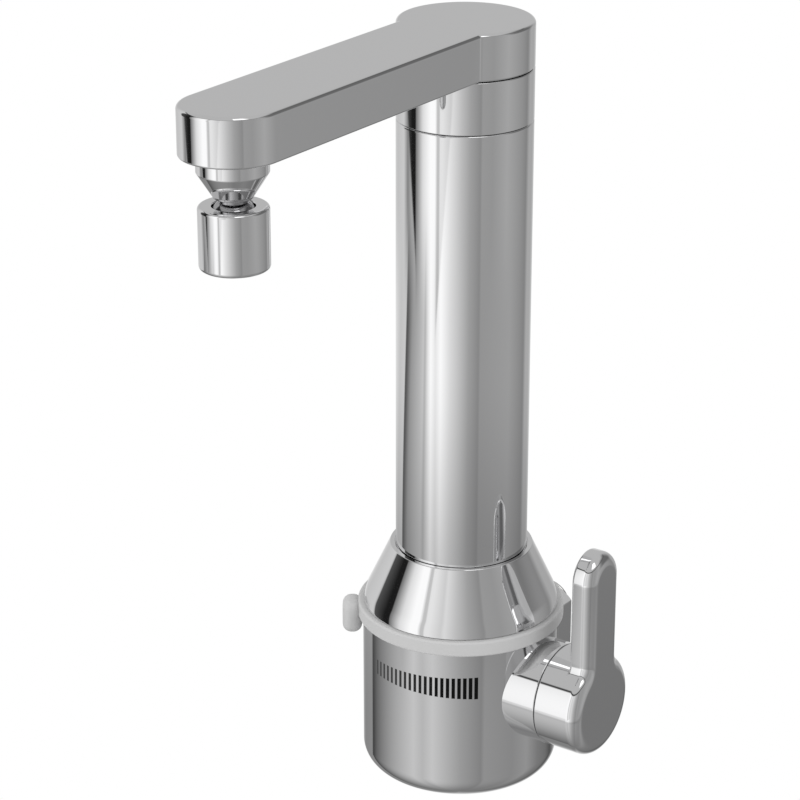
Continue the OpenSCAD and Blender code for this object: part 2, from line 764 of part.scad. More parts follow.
module feed_pipe() {
    z0 = valve_h + (chassis_h - run_gap - valve_h) / 2 + seat_gap;
    z1 = chamber_base_h + chamber_base_t / 2;
    color("peru") from_wall() translate([-feed_x, 0, z0]) ring(feed_r, feed_bore_r, z1 - z0);
}

module terminal_block() {
    l = body_r;
    w = l / 3;
    h = l / 4;
    color("ivory") from_wall() translate([-l / 2, -w * 1.3, floor_t + seat_gap]) difference() {
        cube([l, w, h]);
        for (k = [0 : 2]) translate([l * (k + 0.5) / 3, 0, 0]) {
            translate([0, -overrun, h / 3]) rotate([-90, 0, 0])
                cylinder(r = l / 16, h = w + 2 * overrun);
            translate([0, w / 2, h / 3]) cylinder(r = l / 16, h = h);
        }
    }
}

module terminal_screws() {
    l = body_r;
    w = l / 3;
    h = l / 4;
    color("goldenrod") from_wall() translate([-l / 2, -w * 0.8, floor_t + seat_gap])
        for (k = [0 : 2]) translate([l * (k + 0.5) / 3, 0, h * 0.6]) difference() {
            cylinder(r = l / 16 - seat_gap, h = h / 3);
            translate([-l, -seat_gap * 3, h / 4]) cube([2 * l, seat_gap * 6, h]);
        }
}

// Disc thermostat that leans on the warm underside of the chamber base.
module thermal_cutout() {
    color("silver") from_wall() translate([cutout_x, 0, chamber_base_h - cutout_h]) {
        cylinder(r = cutout_r, h = cutout_h - seat_gap);
        for (s = [-1, 1])
            translate([-cutout_tab_w / 2, (s * cutout_r - cutout_tab_t) / 2, -cutout_tab_l])
                cube([cutout_tab_w, cutout_tab_t, cutout_tab_l + seat_gap]);
    }
}

module chassis_plate() {
    color("whitesmoke") from_wall() difference() {
        union() {
            translate([0, 0, chassis_h]) cylinder(r = rim_r, h = chassis_t);
            translate([0, 0, chassis_h]) ring(rim_r, rim_r - rim_wall, rim_top_h - chassis_h);
            for (a = post_angles) rotate([0, 0, a]) translate([post_place_r, 0, chassis_h])
                cylinder(r = post_r, h = chamber_base_h - chassis_h - seat_gap);
        }
        translate([-feed_x, 0, chassis_h - overrun])
            cylinder(r = feed_r + run_gap, h = chassis_t + 2 * overrun);
        // Room for the cartridge nut
        on_valve(valve_end - run_gap) cylinder(r = boss_bore_r + run_gap, h = rim_r);
        // Wire holes
        for (a = [40, 140]) rotate([0, 0, a]) translate([rim_r * 0.8, 0, chassis_h - overrun])
            cylinder(r = cable_r / 1.2, h = chassis_t + 2 * overrun);
        for (s = [-1, 1]) translate([s * bridge_l * 0.4, 0, chassis_h - overrun])
            cylinder(r = screw_r, h = chassis_t + 2 * overrun);
        // Slot that the selector ring's lug moves in
        translate([0, 0, ring_z]) arc_block(rim_r - rim_wall - overrun, rim_r + overrun,
            ring_h + run_gap, tab_angle - lug_half_angle - slot_gap_angle,
            tab_angle + ring_turn + lug_half_angle + slot_gap_angle);
    }
}

// Fixed contacts of the pressure switch, riveted through the chassis plate.
module main_contacts() {
    color("goldenrod") from_wall() for (s = [-1, 1]) translate([s * bridge_l * 0.4, 0, 0]) {
        translate([0, 0, chassis_top]) cylinder(r = screw_r * 1.5, h = contact_head_h);
        translate([0, 0, chassis_h]) cylinder(r = screw_r - seat_gap, h = chassis_t + contact_head_h / 2);
    }
}

// Insulating arc under the selector's contacts.
module contact_plate() {
    a0 = tab_angle - carrier_half_angle / 2;
    a1 = tab_angle + ring_turn + carrier_half_angle / 2;
    color("ivory") from_wall() difference() {
        translate([0, 0, chassis_top]) arc_block(carrier_in_r, rim_r - rim_wall - run_gap,
            carrier_t / 2, a0, a1);
        for (k = [0 : contact_count - 1])
            rotate([0, 0, tab_angle + k * ring_turn / (contact_count - 1)])
                translate([contact_place_r, 0, chassis_top + carrier_t / 4])
                    cylinder(r = contact_r + seat_gap, h = carrier_t);
    }
}

module selector_contacts() {
    color("goldenrod") from_wall() for (k = [0 : contact_count - 1])
        rotate([0, 0, tab_angle + k * ring_turn / (contact_count - 1)])
            translate([contact_place_r, 0, chassis_top + carrier_t / 4])
                cylinder(r = contact_r, h = carrier_t / 4 + carrier_t / 6);
}

module tab_solid() {
    bottom = ring_z + ring_h - tab_h;
    inner = body_r + run_gap;
    rotate([0, 0, tab_angle]) intersection() {
        translate([inner, tab_w / 2, bottom]) rotate([90, 0, 0])
            linear_extrude(tab_w) union() {
                rounded_square(tab_reach - inner, tab_h, tab_round_r);
                square([tab_round_r, tab_h]);
            }
        translate([inner, -tab_w / 2, bottom]) linear_extrude(tab_h) union() {
            rounded_square(tab_reach - inner, tab_w, tab_round_r);
            square([tab_round_r, tab_w]);
        }
    }
}

module selector_ring() {
    e = ring_edge_r;
    inner = rim_r + run_gap;
    color("lightgray") from_wall() {
        difference() {
            union() {
                translate([0, 0, ring_z]) rotate_extrude() {
                    translate([inner, 0]) square([ring_r - e - inner, ring_h]);
                    translate([inner, e]) square([ring_r - inner, ring_h - 2 * e]);
                    for (z = [e, ring_h - e]) translate([ring_r - e, z]) circle(e);
                }
                tab_solid();
            }
            // The tab's hollow where it hangs in front of the body
            translate([0, 0, ring_z - tab_h]) cylinder(r = body_r + run_gap, h = tab_h);
            translate([0, 0, ring_z - overrun]) cylinder(r = inner, h = ring_h + 2 * overrun);
        }
        // Lug that turns the contact carrier
        translate([0, 0, lug_z]) arc_block(rim_r - rim_wall - carrier_t, inner + ring_edge_r,
            lug_h, tab_angle - lug_half_angle, tab_angle + lug_half_angle);
    }
}

module contact_carrier() {
    outer = rim_r - rim_wall - run_gap;
    fork = lug_half_angle + seat_gap * 3;
    color("ivory") from_wall() difference() {
        union() {
            translate([0, 0, carrier_z]) arc_block(carrier_in_r, outer, carrier_t,
                tab_angle - carrier_half_angle, tab_angle + carrier_half_angle);
            translate([0, 0, carrier_z]) arc_block(outer - carrier_t, outer,
                lug_z + lug_h - carrier_z, tab_angle - carrier_half_angle,
                tab_angle + carrier_half_angle);
        }
        translate([0, 0, lug_z - run_gap]) arc_block(outer - carrier_t - overrun,
            outer + overrun, lug_h + 2 * run_gap, tab_angle - fork, tab_angle + fork);
        rotate([0, 0, tab_angle]) translate([contact_place_r, 0, carrier_z - overrun])
            cylinder(r = contact_r / 2 + seat_gap, h = carrier_t + 2 * overrun);
    }
}

// Sprung brass pin that slides over the selector contacts.
module contact_wiper() {
    contact_z = chassis_top + carrier_t * 2 / 3 + run_gap;
    color("goldenrod") from_wall() rotate([0, 0, tab_angle])
        translate([contact_place_r, 0, contact_z]) {
            cylinder(r = contact_r / 2, h = carrier_z + carrier_t * 1.3 - contact_z);
            cylinder(r = contact_r, h = carrier_z - contact_z - seat_gap);
        }
}

module switch_cover() {
    color("whitesmoke") from_wall() translate([0, 0, switch_z]) difference() {
        cylinder(r = switch_r, h = switch_h);
        translate([0, 0, switch_wall]) cylinder(r = switch_r - switch_wall, h = switch_h);
        translate([0, 0, -overrun]) cylinder(r = stem_r + shaft_gap, h = switch_h);
    }
}

module diaphragm() {
    bead = diaphragm_t / 3;
    color("black") from_wall() translate([0, 0, switch_top]) difference() {
        cylinder(r = switch_r, h = diaphragm_t);
        translate([0, 0, diaphragm_t - bead])
            ring(switch_r - switch_wall, plunger_disc_r, bead * 2);
    }
}

module plunger() {
    color("white") from_wall() {
        translate([0, 0, plunger_disc_z]) cylinder(r = plunger_disc_r, h = plunger_disc_t);
        translate([0, 0, bridge_z + bridge_t]) cylinder(r = stem_r,
            h = plunger_disc_z - bridge_z - bridge_t + plunger_disc_t / 2);
        translate([0, 0, bridge_z - run_gap / 2]) cylinder(r = stem_r * 0.6,
            h = bridge_t + run_gap);
    }
}

module contact_bridge() {
    color("peru") from_wall() difference() {
        translate([-bridge_l / 2, -bridge_w / 2, bridge_z])
            cube([bridge_l, bridge_w, bridge_t - seat_gap / 2]);
        translate([0, 0, bridge_z - overrun])
            cylinder(r = stem_r * 0.6 + seat_gap / 2, h = bridge_t + 2 * overrun);
    }
}

module plunger_spring() {
    low = switch_floor_top + spring_wire_r;
    high = plunger_disc_z - spring_wire_r - seat_gap;
    steps = 16;
    n = round(spring_turns * steps);
    color("silver") from_wall() swept_tube([for (i = [0 : n])
        let (a = 360 * i / steps) [spring_r * cos(a), spring_r * sin(a),
            low + (high - low) * i / n]], spring_wire_r, 6);
}

// Plastic base of the heating chamber, with the port that the diaphragm closes.
module chamber_base() {
    port_r = switch_r - 2 * switch_wall;
    color("whitesmoke") from_wall() translate([0, 0, chamber_base_h]) difference() {
        union() {
            cylinder(r = chamber_base_r, h = base_step_h);
            cylinder(r = chamber_flange_r, h = chamber_base_t);
        }
        translate([0, 0, -overrun]) cylinder(r = port_r, h = chamber_base_t + 2 * overrun);
        // Feed channel
        translate([-feed_x, 0, -overrun]) cylinder(r = feed_r + seat_gap, h = chamber_base_t / 2 + overrun);
        translate([-feed_x, 0, chamber_base_t / 2]) rotate([0, 90, 0])
            cylinder(r = feed_bore_r / 2, h = feed_x);
        for (s = [-1, 1]) translate([0, s * terminal_y, -overrun])
            cylinder(r = element_r + seat_gap, h = chamber_base_t + 2 * overrun);
        for (k = [0 : 5]) rotate([0, 0, 60 * k + 30])
            translate([(chamber_r + chamber_flange_r) / 2, 0, chamber_base_t / 4])
                cylinder(r = screw_r / 1.6 + seat_gap, h = chamber_base_t);
        translate([0, 0, chamber_base_t - diaphragm_t])
            ring(chamber_r - chamber_wall + seal_w, chamber_r - chamber_wall - overrun, chamber_base_t);
    }
}
seal_w = chamber_wall;

module chamber_seal() {
    color("black") from_wall() translate([0, 0, base_top - diaphragm_t + seat_gap])
        ring(chamber_r - chamber_wall + seal_w - seat_gap, chamber_r - chamber_wall - overrun + seat_gap,
            diaphragm_t - seat_gap * 1.5);
}

module heating_chamber() {
    dome_z = flange_top + chamber_h - chamber_r / 2;
    inner = chamber_r - chamber_wall;
    color("lightgray") from_wall() difference() {
        union() {
            translate([0, 0, base_top]) cylinder(r = chamber_flange_r, h = chamber_flange_t);
            translate([0, 0, base_top]) cylinder(r = chamber_r, h = dome_z - base_top);
            translate([0, 0, dome_z])
                cylinder(r1 = chamber_r, r2 = riser_r + chamber_wall, h = chamber_r / 2);
            translate([0, 0, dome_z])
                cylinder(r = riser_r + chamber_wall, h = chamber_r / 2 + chamber_wall * 3);
        }
        translate([0, 0, base_top - overrun]) cylinder(r = inner, h = dome_z - base_top + overrun);
        translate([0, 0, dome_z - seat_gap])
            cylinder(r1 = inner, r2 = riser_bore_r, h = chamber_r / 2 - chamber_wall);
        translate([0, 0, dome_z]) cylinder(r = riser_bore_r, h = chamber_r * 2);
        translate([0, 0, flange_top + chamber_h]) cylinder(r = riser_r + seat_gap, h = chamber_r);
        for (k = [0 : 5]) rotate([0, 0, 60 * k + 30])
            translate([(chamber_r + chamber_flange_r) / 2, 0, base_top - overrun])
                cylinder(r = screw_r / 1.6 + seat_gap, h = chamber_flange_t + 2 * overrun);
    }
}

module chamber_screws() {
    r = screw_r / 1.6;
    shank_l = chamber_base_t / 2 + chamber_flange_t;
    color("dimgray") from_wall() for (k = [0 : 5]) rotate([0, 0, 60 * k + 30])
        translate([(chamber_r + chamber_flange_r) / 2, 0, flange_top]) {
            cylinder(r = r * 1.7, h = r * 1.5);
            translate([0, 0, -shank_l]) cylinder(r = r, h = shank_l + r / 2);
        }
}

// Sheathed heating element: up from one terminal, round the coil and down to the other.
module heating_element() {
    steps = 16;
    n = coil_turns * steps;
    low = flange_top + chamber_r / 2;
    high = low + chamber_h * 0.62;
    foot = chamber_base_h - terminal_drop;
    up = [[0, -terminal_y, foot], [0, -terminal_y, (foot + low) / 2],
        [0, -terminal_y, low - element_r * 4]];
    coil = [for (i = [0 : n]) let (a = -90 + 360 * i / steps)
        [coil_r * cos(a), coil_r * sin(a), low + (high - low) * i / n]];
    over = [[coil_r * 0.3, -coil_r * 0.75, high + element_r * 3],
        [0, -coil_r * 0.35, high + element_r * 4], [0, 0, high + element_r * 1.5]];
    down = [[0, 0, (low + high) / 2], [0, 0, low + element_r * 3],
        [0, terminal_y * 0.3, low - element_r * 3],
        [0, terminal_y * 0.85, base_top + element_r * 5], [0, terminal_y, base_top + element_r * 2.5],
        [0, terminal_y, foot]];
    color("darkgray") from_wall() swept_tube(concat(up, coil, over, down), element_r, 8);
}
terminal_drop = chamber_base_t / 2;

module element_nuts() {
    h = screw_r;
    color("goldenrod") from_wall() for (s = [-1, 1])
        translate([0, s * terminal_y, chamber_base_h - h - seat_gap]) difference() {
            cylinder(r = element_r * 2, h = h, $fn = 6);
            translate([0, 0, -overrun]) cylinder(r = element_r + seat_gap, h = h + 2 * overrun);
        }
}

module riser_pipe() {
    z0 = flange_top + chamber_h + seat_gap;
    color("peru") from_wall() translate([0, 0, z0])
        ring(riser_r, riser_bore_r, housing_z + chamber_wall - z0);
}

module shoulder_cone() {
    inner = rim_r + seat_gap;
    core_r = shoulder_x + shoulder_r / 2;
    color("silver") from_wall() rotate_extrude() difference() {
        union() {
            intersection() {
                translate([shoulder_x, shoulder_z]) circle(shoulder_r);
                translate([shoulder_x, cone_z]) square([shoulder_r, shoulder_join_h - cone_z]);
            }
            polygon([[0, cone_z], [core_r, cone_z], [core_r, shoulder_join_h],
                [shoulder_join_r, shoulder_join_h], [cone_rim_r, cone_top_h], [0, cone_top_h]]);
        }
        translate([0, cone_z - overrun]) square([inner, rim_top_h + run_gap - cone_z + overrun]);
        polygon([[0, rim_top_h], [hollow_foot_r, rim_top_h], [hollow_top_r, lip_z], [0, lip_z]]);
        translate([0, rim_top_h]) square([col_r + seat_gap, cone_top_h]);
        translate([0, cone_top_h - groove_d]) square([col_r + groove_w, groove_d + overrun]);
    }
}

module column_tube() {
    color("silver") from_wall() translate([0, 0, col_bottom_h])
        ring(col_r, col_r - col_wall, col_top_h - col_bottom_h);
}

module column_collar() {
    color("silver") from_wall() translate([0, 0, collar_z])
        ring(col_r, col_r - collar_wall, collar_h);
}

// Plastic housing that the spout's spigot turns in.
module swivel_housing() {
    lower_r = col_r - col_wall - seat_gap;
    sump_z = housing_z + chamber_wall;
    bush_z = spigot_z + clip_t * 3;
    recess_z = arm_z - spigot_flange_t - run_gap * 2;
    stop = spout_turn + stop_lug_half_angle + slot_gap_angle;
    color("whitesmoke") from_wall() difference() {
        union() {
            translate([0, 0, housing_z]) cylinder(r = lower_r, h = col_top_h - housing_z);
            translate([0, 0, housing_z]) cylinder(r = housing_upper_r, h = collar_top - housing_z);
        }
        translate([0, 0, housing_z - overrun]) cylinder(r = riser_r + seat_gap, h = chamber_wall * 3);
        translate([0, 0, sump_z]) cylinder(r = spigot_r + clip_t * 2.5, h = bush_z - sump_z);
        translate([0, 0, sump_z]) cylinder(r = spigot_r + shaft_gap, h = spigot_l * 2);
        translate([0, 0, recess_z]) cylinder(r = spigot_flange_r + run_gap, h = arm_t);
        translate([0, 0, recess_z]) arc_block(spigot_flange_r - overrun,
            spigot_flange_r + stop_lug_l + run_gap, arm_t, front - stop, front + stop);
    }
}

module swivel_spigot() {
    flange_z = arm_z - spigot_flange_t;
    color("goldenrod") from_wall() difference() {
        union() {
            translate([0, 0, spigot_z])
                cylinder(r = spigot_r, h = spigot_l + plate_t + seat_gap + channel_r / 3);
            translate([0, 0, flange_z]) cylinder(r = spigot_flange_r, h = spigot_flange_t - run_gap);
            translate([0, 0, flange_z]) arc_block(spigot_flange_r - stop_lug_l,
                spigot_flange_r + stop_lug_l - run_gap, spigot_flange_t - run_gap,
                front - stop_lug_half_angle, front + stop_lug_half_angle);
        }
        translate([0, 0, spigot_z - overrun]) cylinder(r = spigot_bore_r, h = spigot_l * 2);
        for (z = seal_levels) translate([0, 0, z])
            ring(spigot_r + overrun, spigot_r - spigot_seal_t * 0.85, spigot_seal_t);
        translate([0, 0, spigot_z + clip_t]) ring(spigot_r + overrun, spigot_r - clip_t, clip_t * 1.2);
    }
}
seal_levels = [for (k = [1 : 3]) spigot_z + clip_t * 2 + k * spigot_seal_t * 2.2];

module spigot_seals() {
    section_r = spigot_seal_t * 0.4;
    color("black") from_wall() for (z = seal_levels) translate([0, 0, z + spigot_seal_t / 2])
        rotate_extrude() translate([spigot_r - section_r - seat_gap / 2, 0])
            circle(section_r, $fn = 32);
}

// Open snap ring under the bush.
module spigot_clip() {
    color("gray") from_wall() translate([0, 0, spigot_z + clip_t * 1.1])
        arc_block(spigot_r - clip_t + seat_gap, spigot_r + clip_t * 1.6, clip_t, 30, 330);
}

module arm_plan(inset) {
    circle(col_r - inset);
    translate([0, -spout_reach]) circle(arm_half_w - inset);
    translate([inset - arm_half_w, -spout_reach])
        square([2 * (arm_half_w - inset), spout_reach]);
}

// The arm's outside, with its rounded top edge.
module arm_solid() {
    f = arm_fillet;
    h = arm_t;
    module edge_profile(r) {
        square([r, h - f]);
        square([r - f, h]);
        translate([r - f, h - f]) circle(f);
    }
    rotate_extrude() edge_profile(col_r);
    translate([0, -spout_reach, 0]) rotate_extrude() edge_profile(arm_half_w);
    rotate([90, 0, 0]) linear_extrude(spout_reach) {
        edge_profile(arm_half_w);
        mirror([1, 0, 0]) edge_profile(arm_half_w);
    }
}

module plate_screw_places() {
    for (share = plate_screw_y_shares, s = [-1, 1])
        translate([s * (arm_half_w - arm_wall + channel_r) / 2, -spout_reach * share, arm_z]) children();
}

module spout_arm() {
    post_top = arm_t - arm_wall / 2;
    color("silver") from_wall() {
        difference() {
            translate([0, 0, arm_z]) arm_solid();
            translate([0, 0, arm_z - overrun])
                linear_extrude(arm_t - arm_wall + overrun) arm_plan(arm_wall);
        }
        plate_screw_places() translate([0, 0, plate_t + seat_gap]) difference() {
            cylinder(r = screw_r * 1.7, h = post_top - plate_t);
            translate([0, 0, -overrun]) cylinder(r = screw_r * 0.8, h = arm_t / 2);
        }
    }
}

module spout_plate() {
    color("silver") from_wall() difference() {
        translate([0, 0, arm_z]) linear_extrude(plate_t) arm_plan(arm_wall + seat_gap);
        translate([0, 0, arm_z - overrun]) cylinder(r = spigot_r + seat_gap, h = plate_t + 2 * overrun);
        translate([0, -spout_reach, arm_z - overrun])
            cylinder(r = outlet_r - body_wall, h = plate_t + 2 * overrun);
        plate_screw_places() {
            translate([0, 0, -overrun]) cylinder(r = screw_r * 0.8 + seat_gap, h = plate_t * 2);
            translate([0, 0, -seat_gap / 2]) cylinder(r1 = screw_r * 1.6, r2 = screw_r * 0.8, h = screw_r);
        }
    }
}

module plate_screws() {
    color("dimgray") from_wall() plate_screw_places() difference() {
        union() {
            translate([0, 0, seat_gap]) cylinder(r1 = screw_r * 1.6 - seat_gap * 2,
                r2 = screw_r * 0.8 - seat_gap, h = screw_r);
            cylinder(r = screw_r * 0.8 - seat_gap, h = arm_t / 2 - seat_gap);
        }
        translate([-screw_r, -seat_gap * 2, -overrun])
            cube([screw_r * 2, seat_gap * 4, overrun + screw_r / 3]);
    }
}

// Plastic water channel from the spigot to the outlet.
module water_channel() {
    z0 = arm_z + plate_t + seat_gap;
    boss_h = channel_z + channel_r + run_gap - z0;
    color("whitesmoke") from_wall() difference() {
        union() {
            translate([0, 0, channel_z]) rotate([90, 0, 0]) cylinder(r = channel_r, h = spout_reach);
            translate([0, 0, z0]) cylinder(r = spigot_r + arm_wall, h = boss_h);
            translate([0, -spout_reach, z0]) cylinder(r = shank_r + arm_wall, h = boss_h);
        }
        translate([0, 0, channel_z]) rotate([90, 0, 0]) cylinder(r = channel_bore_r, h = spout_reach);
        translate([0, 0, z0 - overrun])
            cylinder(r = spigot_r + seat_gap, h = channel_r / 3 + overrun + seat_gap);
        translate([0, 0, z0]) cylinder(r = spigot_bore_r, h = channel_z - z0);
        translate([0, -spout_reach, z0 - overrun])
            cylinder(r = shank_r + seat_gap, h = channel_r + overrun);
        translate([0, -spout_reach, z0]) cylinder(r = ball_bore_r, h = channel_z - z0);
    }
}

module outlet_seal() {
    color("black") from_wall() translate([0, -spout_reach, arm_z])
        ring(outlet_r - body_wall - seat_gap, shank_r + seat_gap, plate_t);
}

module outlet_collar() {
    top = arm_z - seat_gap;
    color("silver") from_wall() translate([0, -spout_reach, 0]) difference() {
        union() {
            translate([0, 0, top - outlet_h]) cylinder(r = outlet_r, h = outlet_h);
            translate([0, 0, top - outlet_h - outlet_cone_h])
                cylinder(r1 = outlet_cone_r, r2 = outlet_r, h = outlet_cone_h);
        }
        translate([0, 0, top - outlet_h - outlet_cone_h - overrun])
            cylinder(r = shank_r + seat_gap, h = outlet_h + outlet_cone_h + 2 * overrun);
    }
}

module ball_stud() {
    collar_bottom = arm_z - seat_gap - outlet_h - outlet_cone_h;
    flange_h = seat_gap * 8;
    color("silver") from_wall() translate([0, -spout_reach, 0]) difference() {
        union() {
            translate([0, 0, ball_z]) sphere(ball_r);
            translate([0, 0, ball_z]) cylinder(r = neck_r, h = collar_bottom - ball_z);
            translate([0, 0, collar_bottom - flange_h])
                cylinder(r = outlet_cone_r - run_gap, h = flange_h - seat_gap / 2);
            translate([0, 0, collar_bottom - flange_h]) cylinder(r = shank_r,
                h = arm_z + plate_t + channel_r - collar_bottom + flange_h);
        }
        translate([0, 0, ball_z - 2 * ball_r]) cylinder(r = ball_bore_r, h = arm_t * 3);
    }
}

// Seat that turns on the ball and carries the cup.
module ball_seat() {
    inner = ball_r + shaft_gap;
    outer = inner + ball_seat_t;
    color("whitesmoke") from_wall() translate([0, -spout_reach, ball_z]) difference() {
        sphere(outer);
        sphere(inner);
        translate([0, 0, -ball_r * 0.42]) cylinder(r = 2 * ball_r, h = 2 * ball_r);
        translate([0, 0, -2 * ball_r]) cylinder(r = ball_r * 0.6, h = 2 * ball_r);
    }
}

module aerator_cup() {
    e = cup_edge_r;
    color("silver") from_wall() translate([0, -spout_reach, 0]) difference() {
        translate([0, 0, cup_z]) rotate_extrude() {
            square([cup_r - e, cup_h]);
            translate([0, e]) square([cup_r, cup_h - 2 * e]);
            for (z = [e, cup_h - e]) translate([cup_r - e, z]) circle(e);
        }
        translate([0, 0, ball_z]) sphere(ball_r + 2 * shaft_gap);
        translate([0, 0, ball_z]) cylinder(r = cup_mouth_r, h = cup_h);
        translate([0, 0, cup_z - overrun]) cylinder(r = cup_in_r, h = ball_z - cup_z + overrun);
    }
}

// Moulded insert that breaks the water into fine jets.
module flow_insert() {
    color("white") from_wall() translate([0, -spout_reach, insert_z]) difference() {
        cylinder(r = cup_in_r - seat_gap, h = insert_h);
        for (k = [0 : 11]) rotate([0, 0, 30 * k]) translate([cup_in_r * 0.72, 0, -overrun])
            cylinder(r = cup_in_r / 9, h = insert_h + 2 * overrun);
        for (k = [0 : 5]) rotate([0, 0, 60 * k]) translate([cup_in_r * 0.38, 0, -overrun])
            cylinder(r = cup_in_r / 9, h = insert_h + 2 * overrun);
    }
}

module aerator_screen() {
    pitch = cup_in_r / 4;
    rim = cup_in_r * 0.82;
    color("gray") from_wall() translate([0, -spout_reach, cup_z + cup_edge_r + screen_t / 2])
        difference() {
            cylinder(r = cup_in_r - seat_gap, h = screen_t);
            for (i = [-3 : 3], j = [-3 : 3])
                if (norm([i, j]) * pitch < rim - pitch * 0.4) translate([i * pitch, j * pitch, -overrun])
                    cylinder(r = pitch * 0.38, h = screen_t + 2 * overrun);
        }
}

body_shell();
rear_housing();
housing_screws();
cable_grommet();
inlet_stub();
inlet_seal();
inlet_strainer();
valve_body();
cartridge_body();
cartridge_nut();
fixed_disc();
moving_disc();
spindle();
spindle_seal();
lever_handle();
lever_screw();
feed_pipe();
terminal_block();
terminal_screws();
thermal_cutout();
chassis_plate();
contact_plate();
selector_contacts();
main_contacts();
selector_ring();
contact_carrier();
contact_wiper();
switch_cover();
diaphragm();
plunger();
plunger_spring();
contact_bridge();
chamber_base();
chamber_seal();
heating_chamber();
chamber_screws();
heating_element();
element_nuts();
riser_pipe();
shoulder_cone();
column_tube();
column_collar();
swivel_housing();
swivel_spigot();
spigot_seals();
spigot_clip();
spout_arm();
spout_plate();
plate_screws();
water_channel();
outlet_collar();
outlet_seal();
ball_stud();
ball_seat();
aerator_cup();
flow_insert();
aerator_screen();
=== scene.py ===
# %% [markdown]
# # An electric tap that heats its own water
#
# The tap hangs on a wall by its threaded inlet. A round body holds the valve and the switch, a
# grey ring with a tab selects the heat, a tall column holds the heating chamber, and a flat arm
# carries a small jointed aerator. Almost every surface is bright chrome, so this lesson is about
# smooth shapes and about what they reflect.

# %% Load the frame
import json
import math

import bpy
import numpy as np
from mathutils import Matrix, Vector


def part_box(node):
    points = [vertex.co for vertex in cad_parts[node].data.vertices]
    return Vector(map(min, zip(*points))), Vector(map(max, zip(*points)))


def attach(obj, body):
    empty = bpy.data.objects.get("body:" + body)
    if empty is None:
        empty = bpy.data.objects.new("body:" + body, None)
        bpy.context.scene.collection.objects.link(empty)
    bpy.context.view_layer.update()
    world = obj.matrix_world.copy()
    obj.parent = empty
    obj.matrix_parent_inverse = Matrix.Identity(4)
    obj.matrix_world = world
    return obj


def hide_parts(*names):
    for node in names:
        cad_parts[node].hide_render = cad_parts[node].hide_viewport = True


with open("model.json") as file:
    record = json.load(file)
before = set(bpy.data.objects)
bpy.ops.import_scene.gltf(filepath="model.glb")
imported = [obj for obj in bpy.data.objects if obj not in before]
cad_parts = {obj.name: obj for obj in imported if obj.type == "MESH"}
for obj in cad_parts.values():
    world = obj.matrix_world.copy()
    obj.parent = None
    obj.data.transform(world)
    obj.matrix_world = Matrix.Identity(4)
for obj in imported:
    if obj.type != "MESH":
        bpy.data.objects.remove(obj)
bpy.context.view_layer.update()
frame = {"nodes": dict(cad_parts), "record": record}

# %% [markdown]
# ## Sizes from the frame
#
# The solids are already in place, so most sizes are read from their boxes. Only roundings and
# walls, which a box can't tell, are written here. All lengths are metres. Machined edges come in
# three radii that most pieces share.

# %% Read the main sizes
MM = 0.001
CRISP_EDGE = 0.2 * MM
FINE_EDGE = 0.3 * MM
SOFT_EDGE = 0.35 * MM


def span(node):
    """Lowest corner, highest corner and size of one solid's box."""
    low, high = (np.array(c, float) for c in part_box(node))
    return low, high, high - low


column_low, column_high, column_size = span("column_tube")
COLUMN_R = column_size[0] / 2
AXIS = np.array([0.0, (column_low[1] + column_high[1]) / 2, 0.0])
stub_low, stub_high, _ = span("inlet_stub")
VALVE_Z = (stub_low[2] + stub_high[2]) / 2
print("column radius", round(COLUMN_R / MM, 2), "mm, axis at y =", round(AXIS[1] / MM, 1), "mm")

# %% [markdown]
# ## Surfaces as grids
#
# Every new piece is a grid of points worked out in one go. A *lathe* turns a profile about an
# axis, which is how the real column and cups are made. A *stack* piles up copies of an outline,
# each a little smaller or larger, which gives a plate with rounded edges. Fillets are drawn as
# arcs, with one more point just outside each, so that flat faces next to them stay flat in the
# reflections.

# %% Draw a path with rounded corners
SUPPORT = 0.06 * MM


def rounded(corners, closed=False, steps=9):
    """Path through corners (a, b, radius). Each corner with a radius becomes an arc of a circle
    that touches both sides, found from the bisector of the corner."""
    points = np.array([c[:2] for c in corners], float)
    pieces = []
    for k, (a, b, radius) in enumerate(corners):
        inside = closed or 0 < k < len(corners) - 1
        if radius <= 0 or not inside:
            pieces.append([[a, b]])
            continue
        here = points[k]
        back = points[k - 1] - here
        ahead = points[(k + 1) % len(points)] - here
        back, ahead = back / np.linalg.norm(back), ahead / np.linalg.norm(ahead)
        half = math.acos(np.clip(back @ ahead, -1, 1)) / 2
        middle = here + (back + ahead) / np.linalg.norm(back + ahead) * radius / math.sin(half)
        start = here + back * radius / math.tan(half)
        end = here + ahead * radius / math.tan(half)
        a0 = math.atan2(*(start - middle)[::-1])
        a1 = math.atan2(*(end - middle)[::-1])
        turn = (a1 - a0 + math.pi) % (2 * math.pi) - math.pi
        angle = a0 + turn * np.linspace(0, 1, steps)
        arc = middle + radius * np.stack([np.cos(angle), np.sin(angle)], -1)
        pieces.append([start + back * SUPPORT])
        pieces.append(arc)
        pieces.append([end + ahead * SUPPORT])
    return np.concatenate([np.asarray(p, float) for p in pieces])


# %% Place local points along an axis
def along(local, origin, axis="z"):
    """Local (a, b, c) becomes world points whose c runs along the named axis."""
    order = {"z": [0, 1, 2], "x": [2, 0, 1], "y": [1, 2, 0]}[axis]
    return local[..., order] + np.asarray(origin, float)


def around(radius, turn, run):
    """Points radius * (cos, sin) of the turn, at the height run along the axis."""
    flat = 0 * (radius + turn + run)
    return np.stack([radius * np.cos(turn) + flat, radius * np.sin(turn) + flat, run + flat], -1)


def lathe(profile, origin, axis="z", sides=192):
    """Point(row, turn) = radius(row) * (cos, sin) across the axis and height(row) along it."""
    turn = np.linspace(0, 2 * np.pi, sides, endpoint=False)
    return along(around(profile[:, :1], turn, profile[:, 1:]), origin, axis)


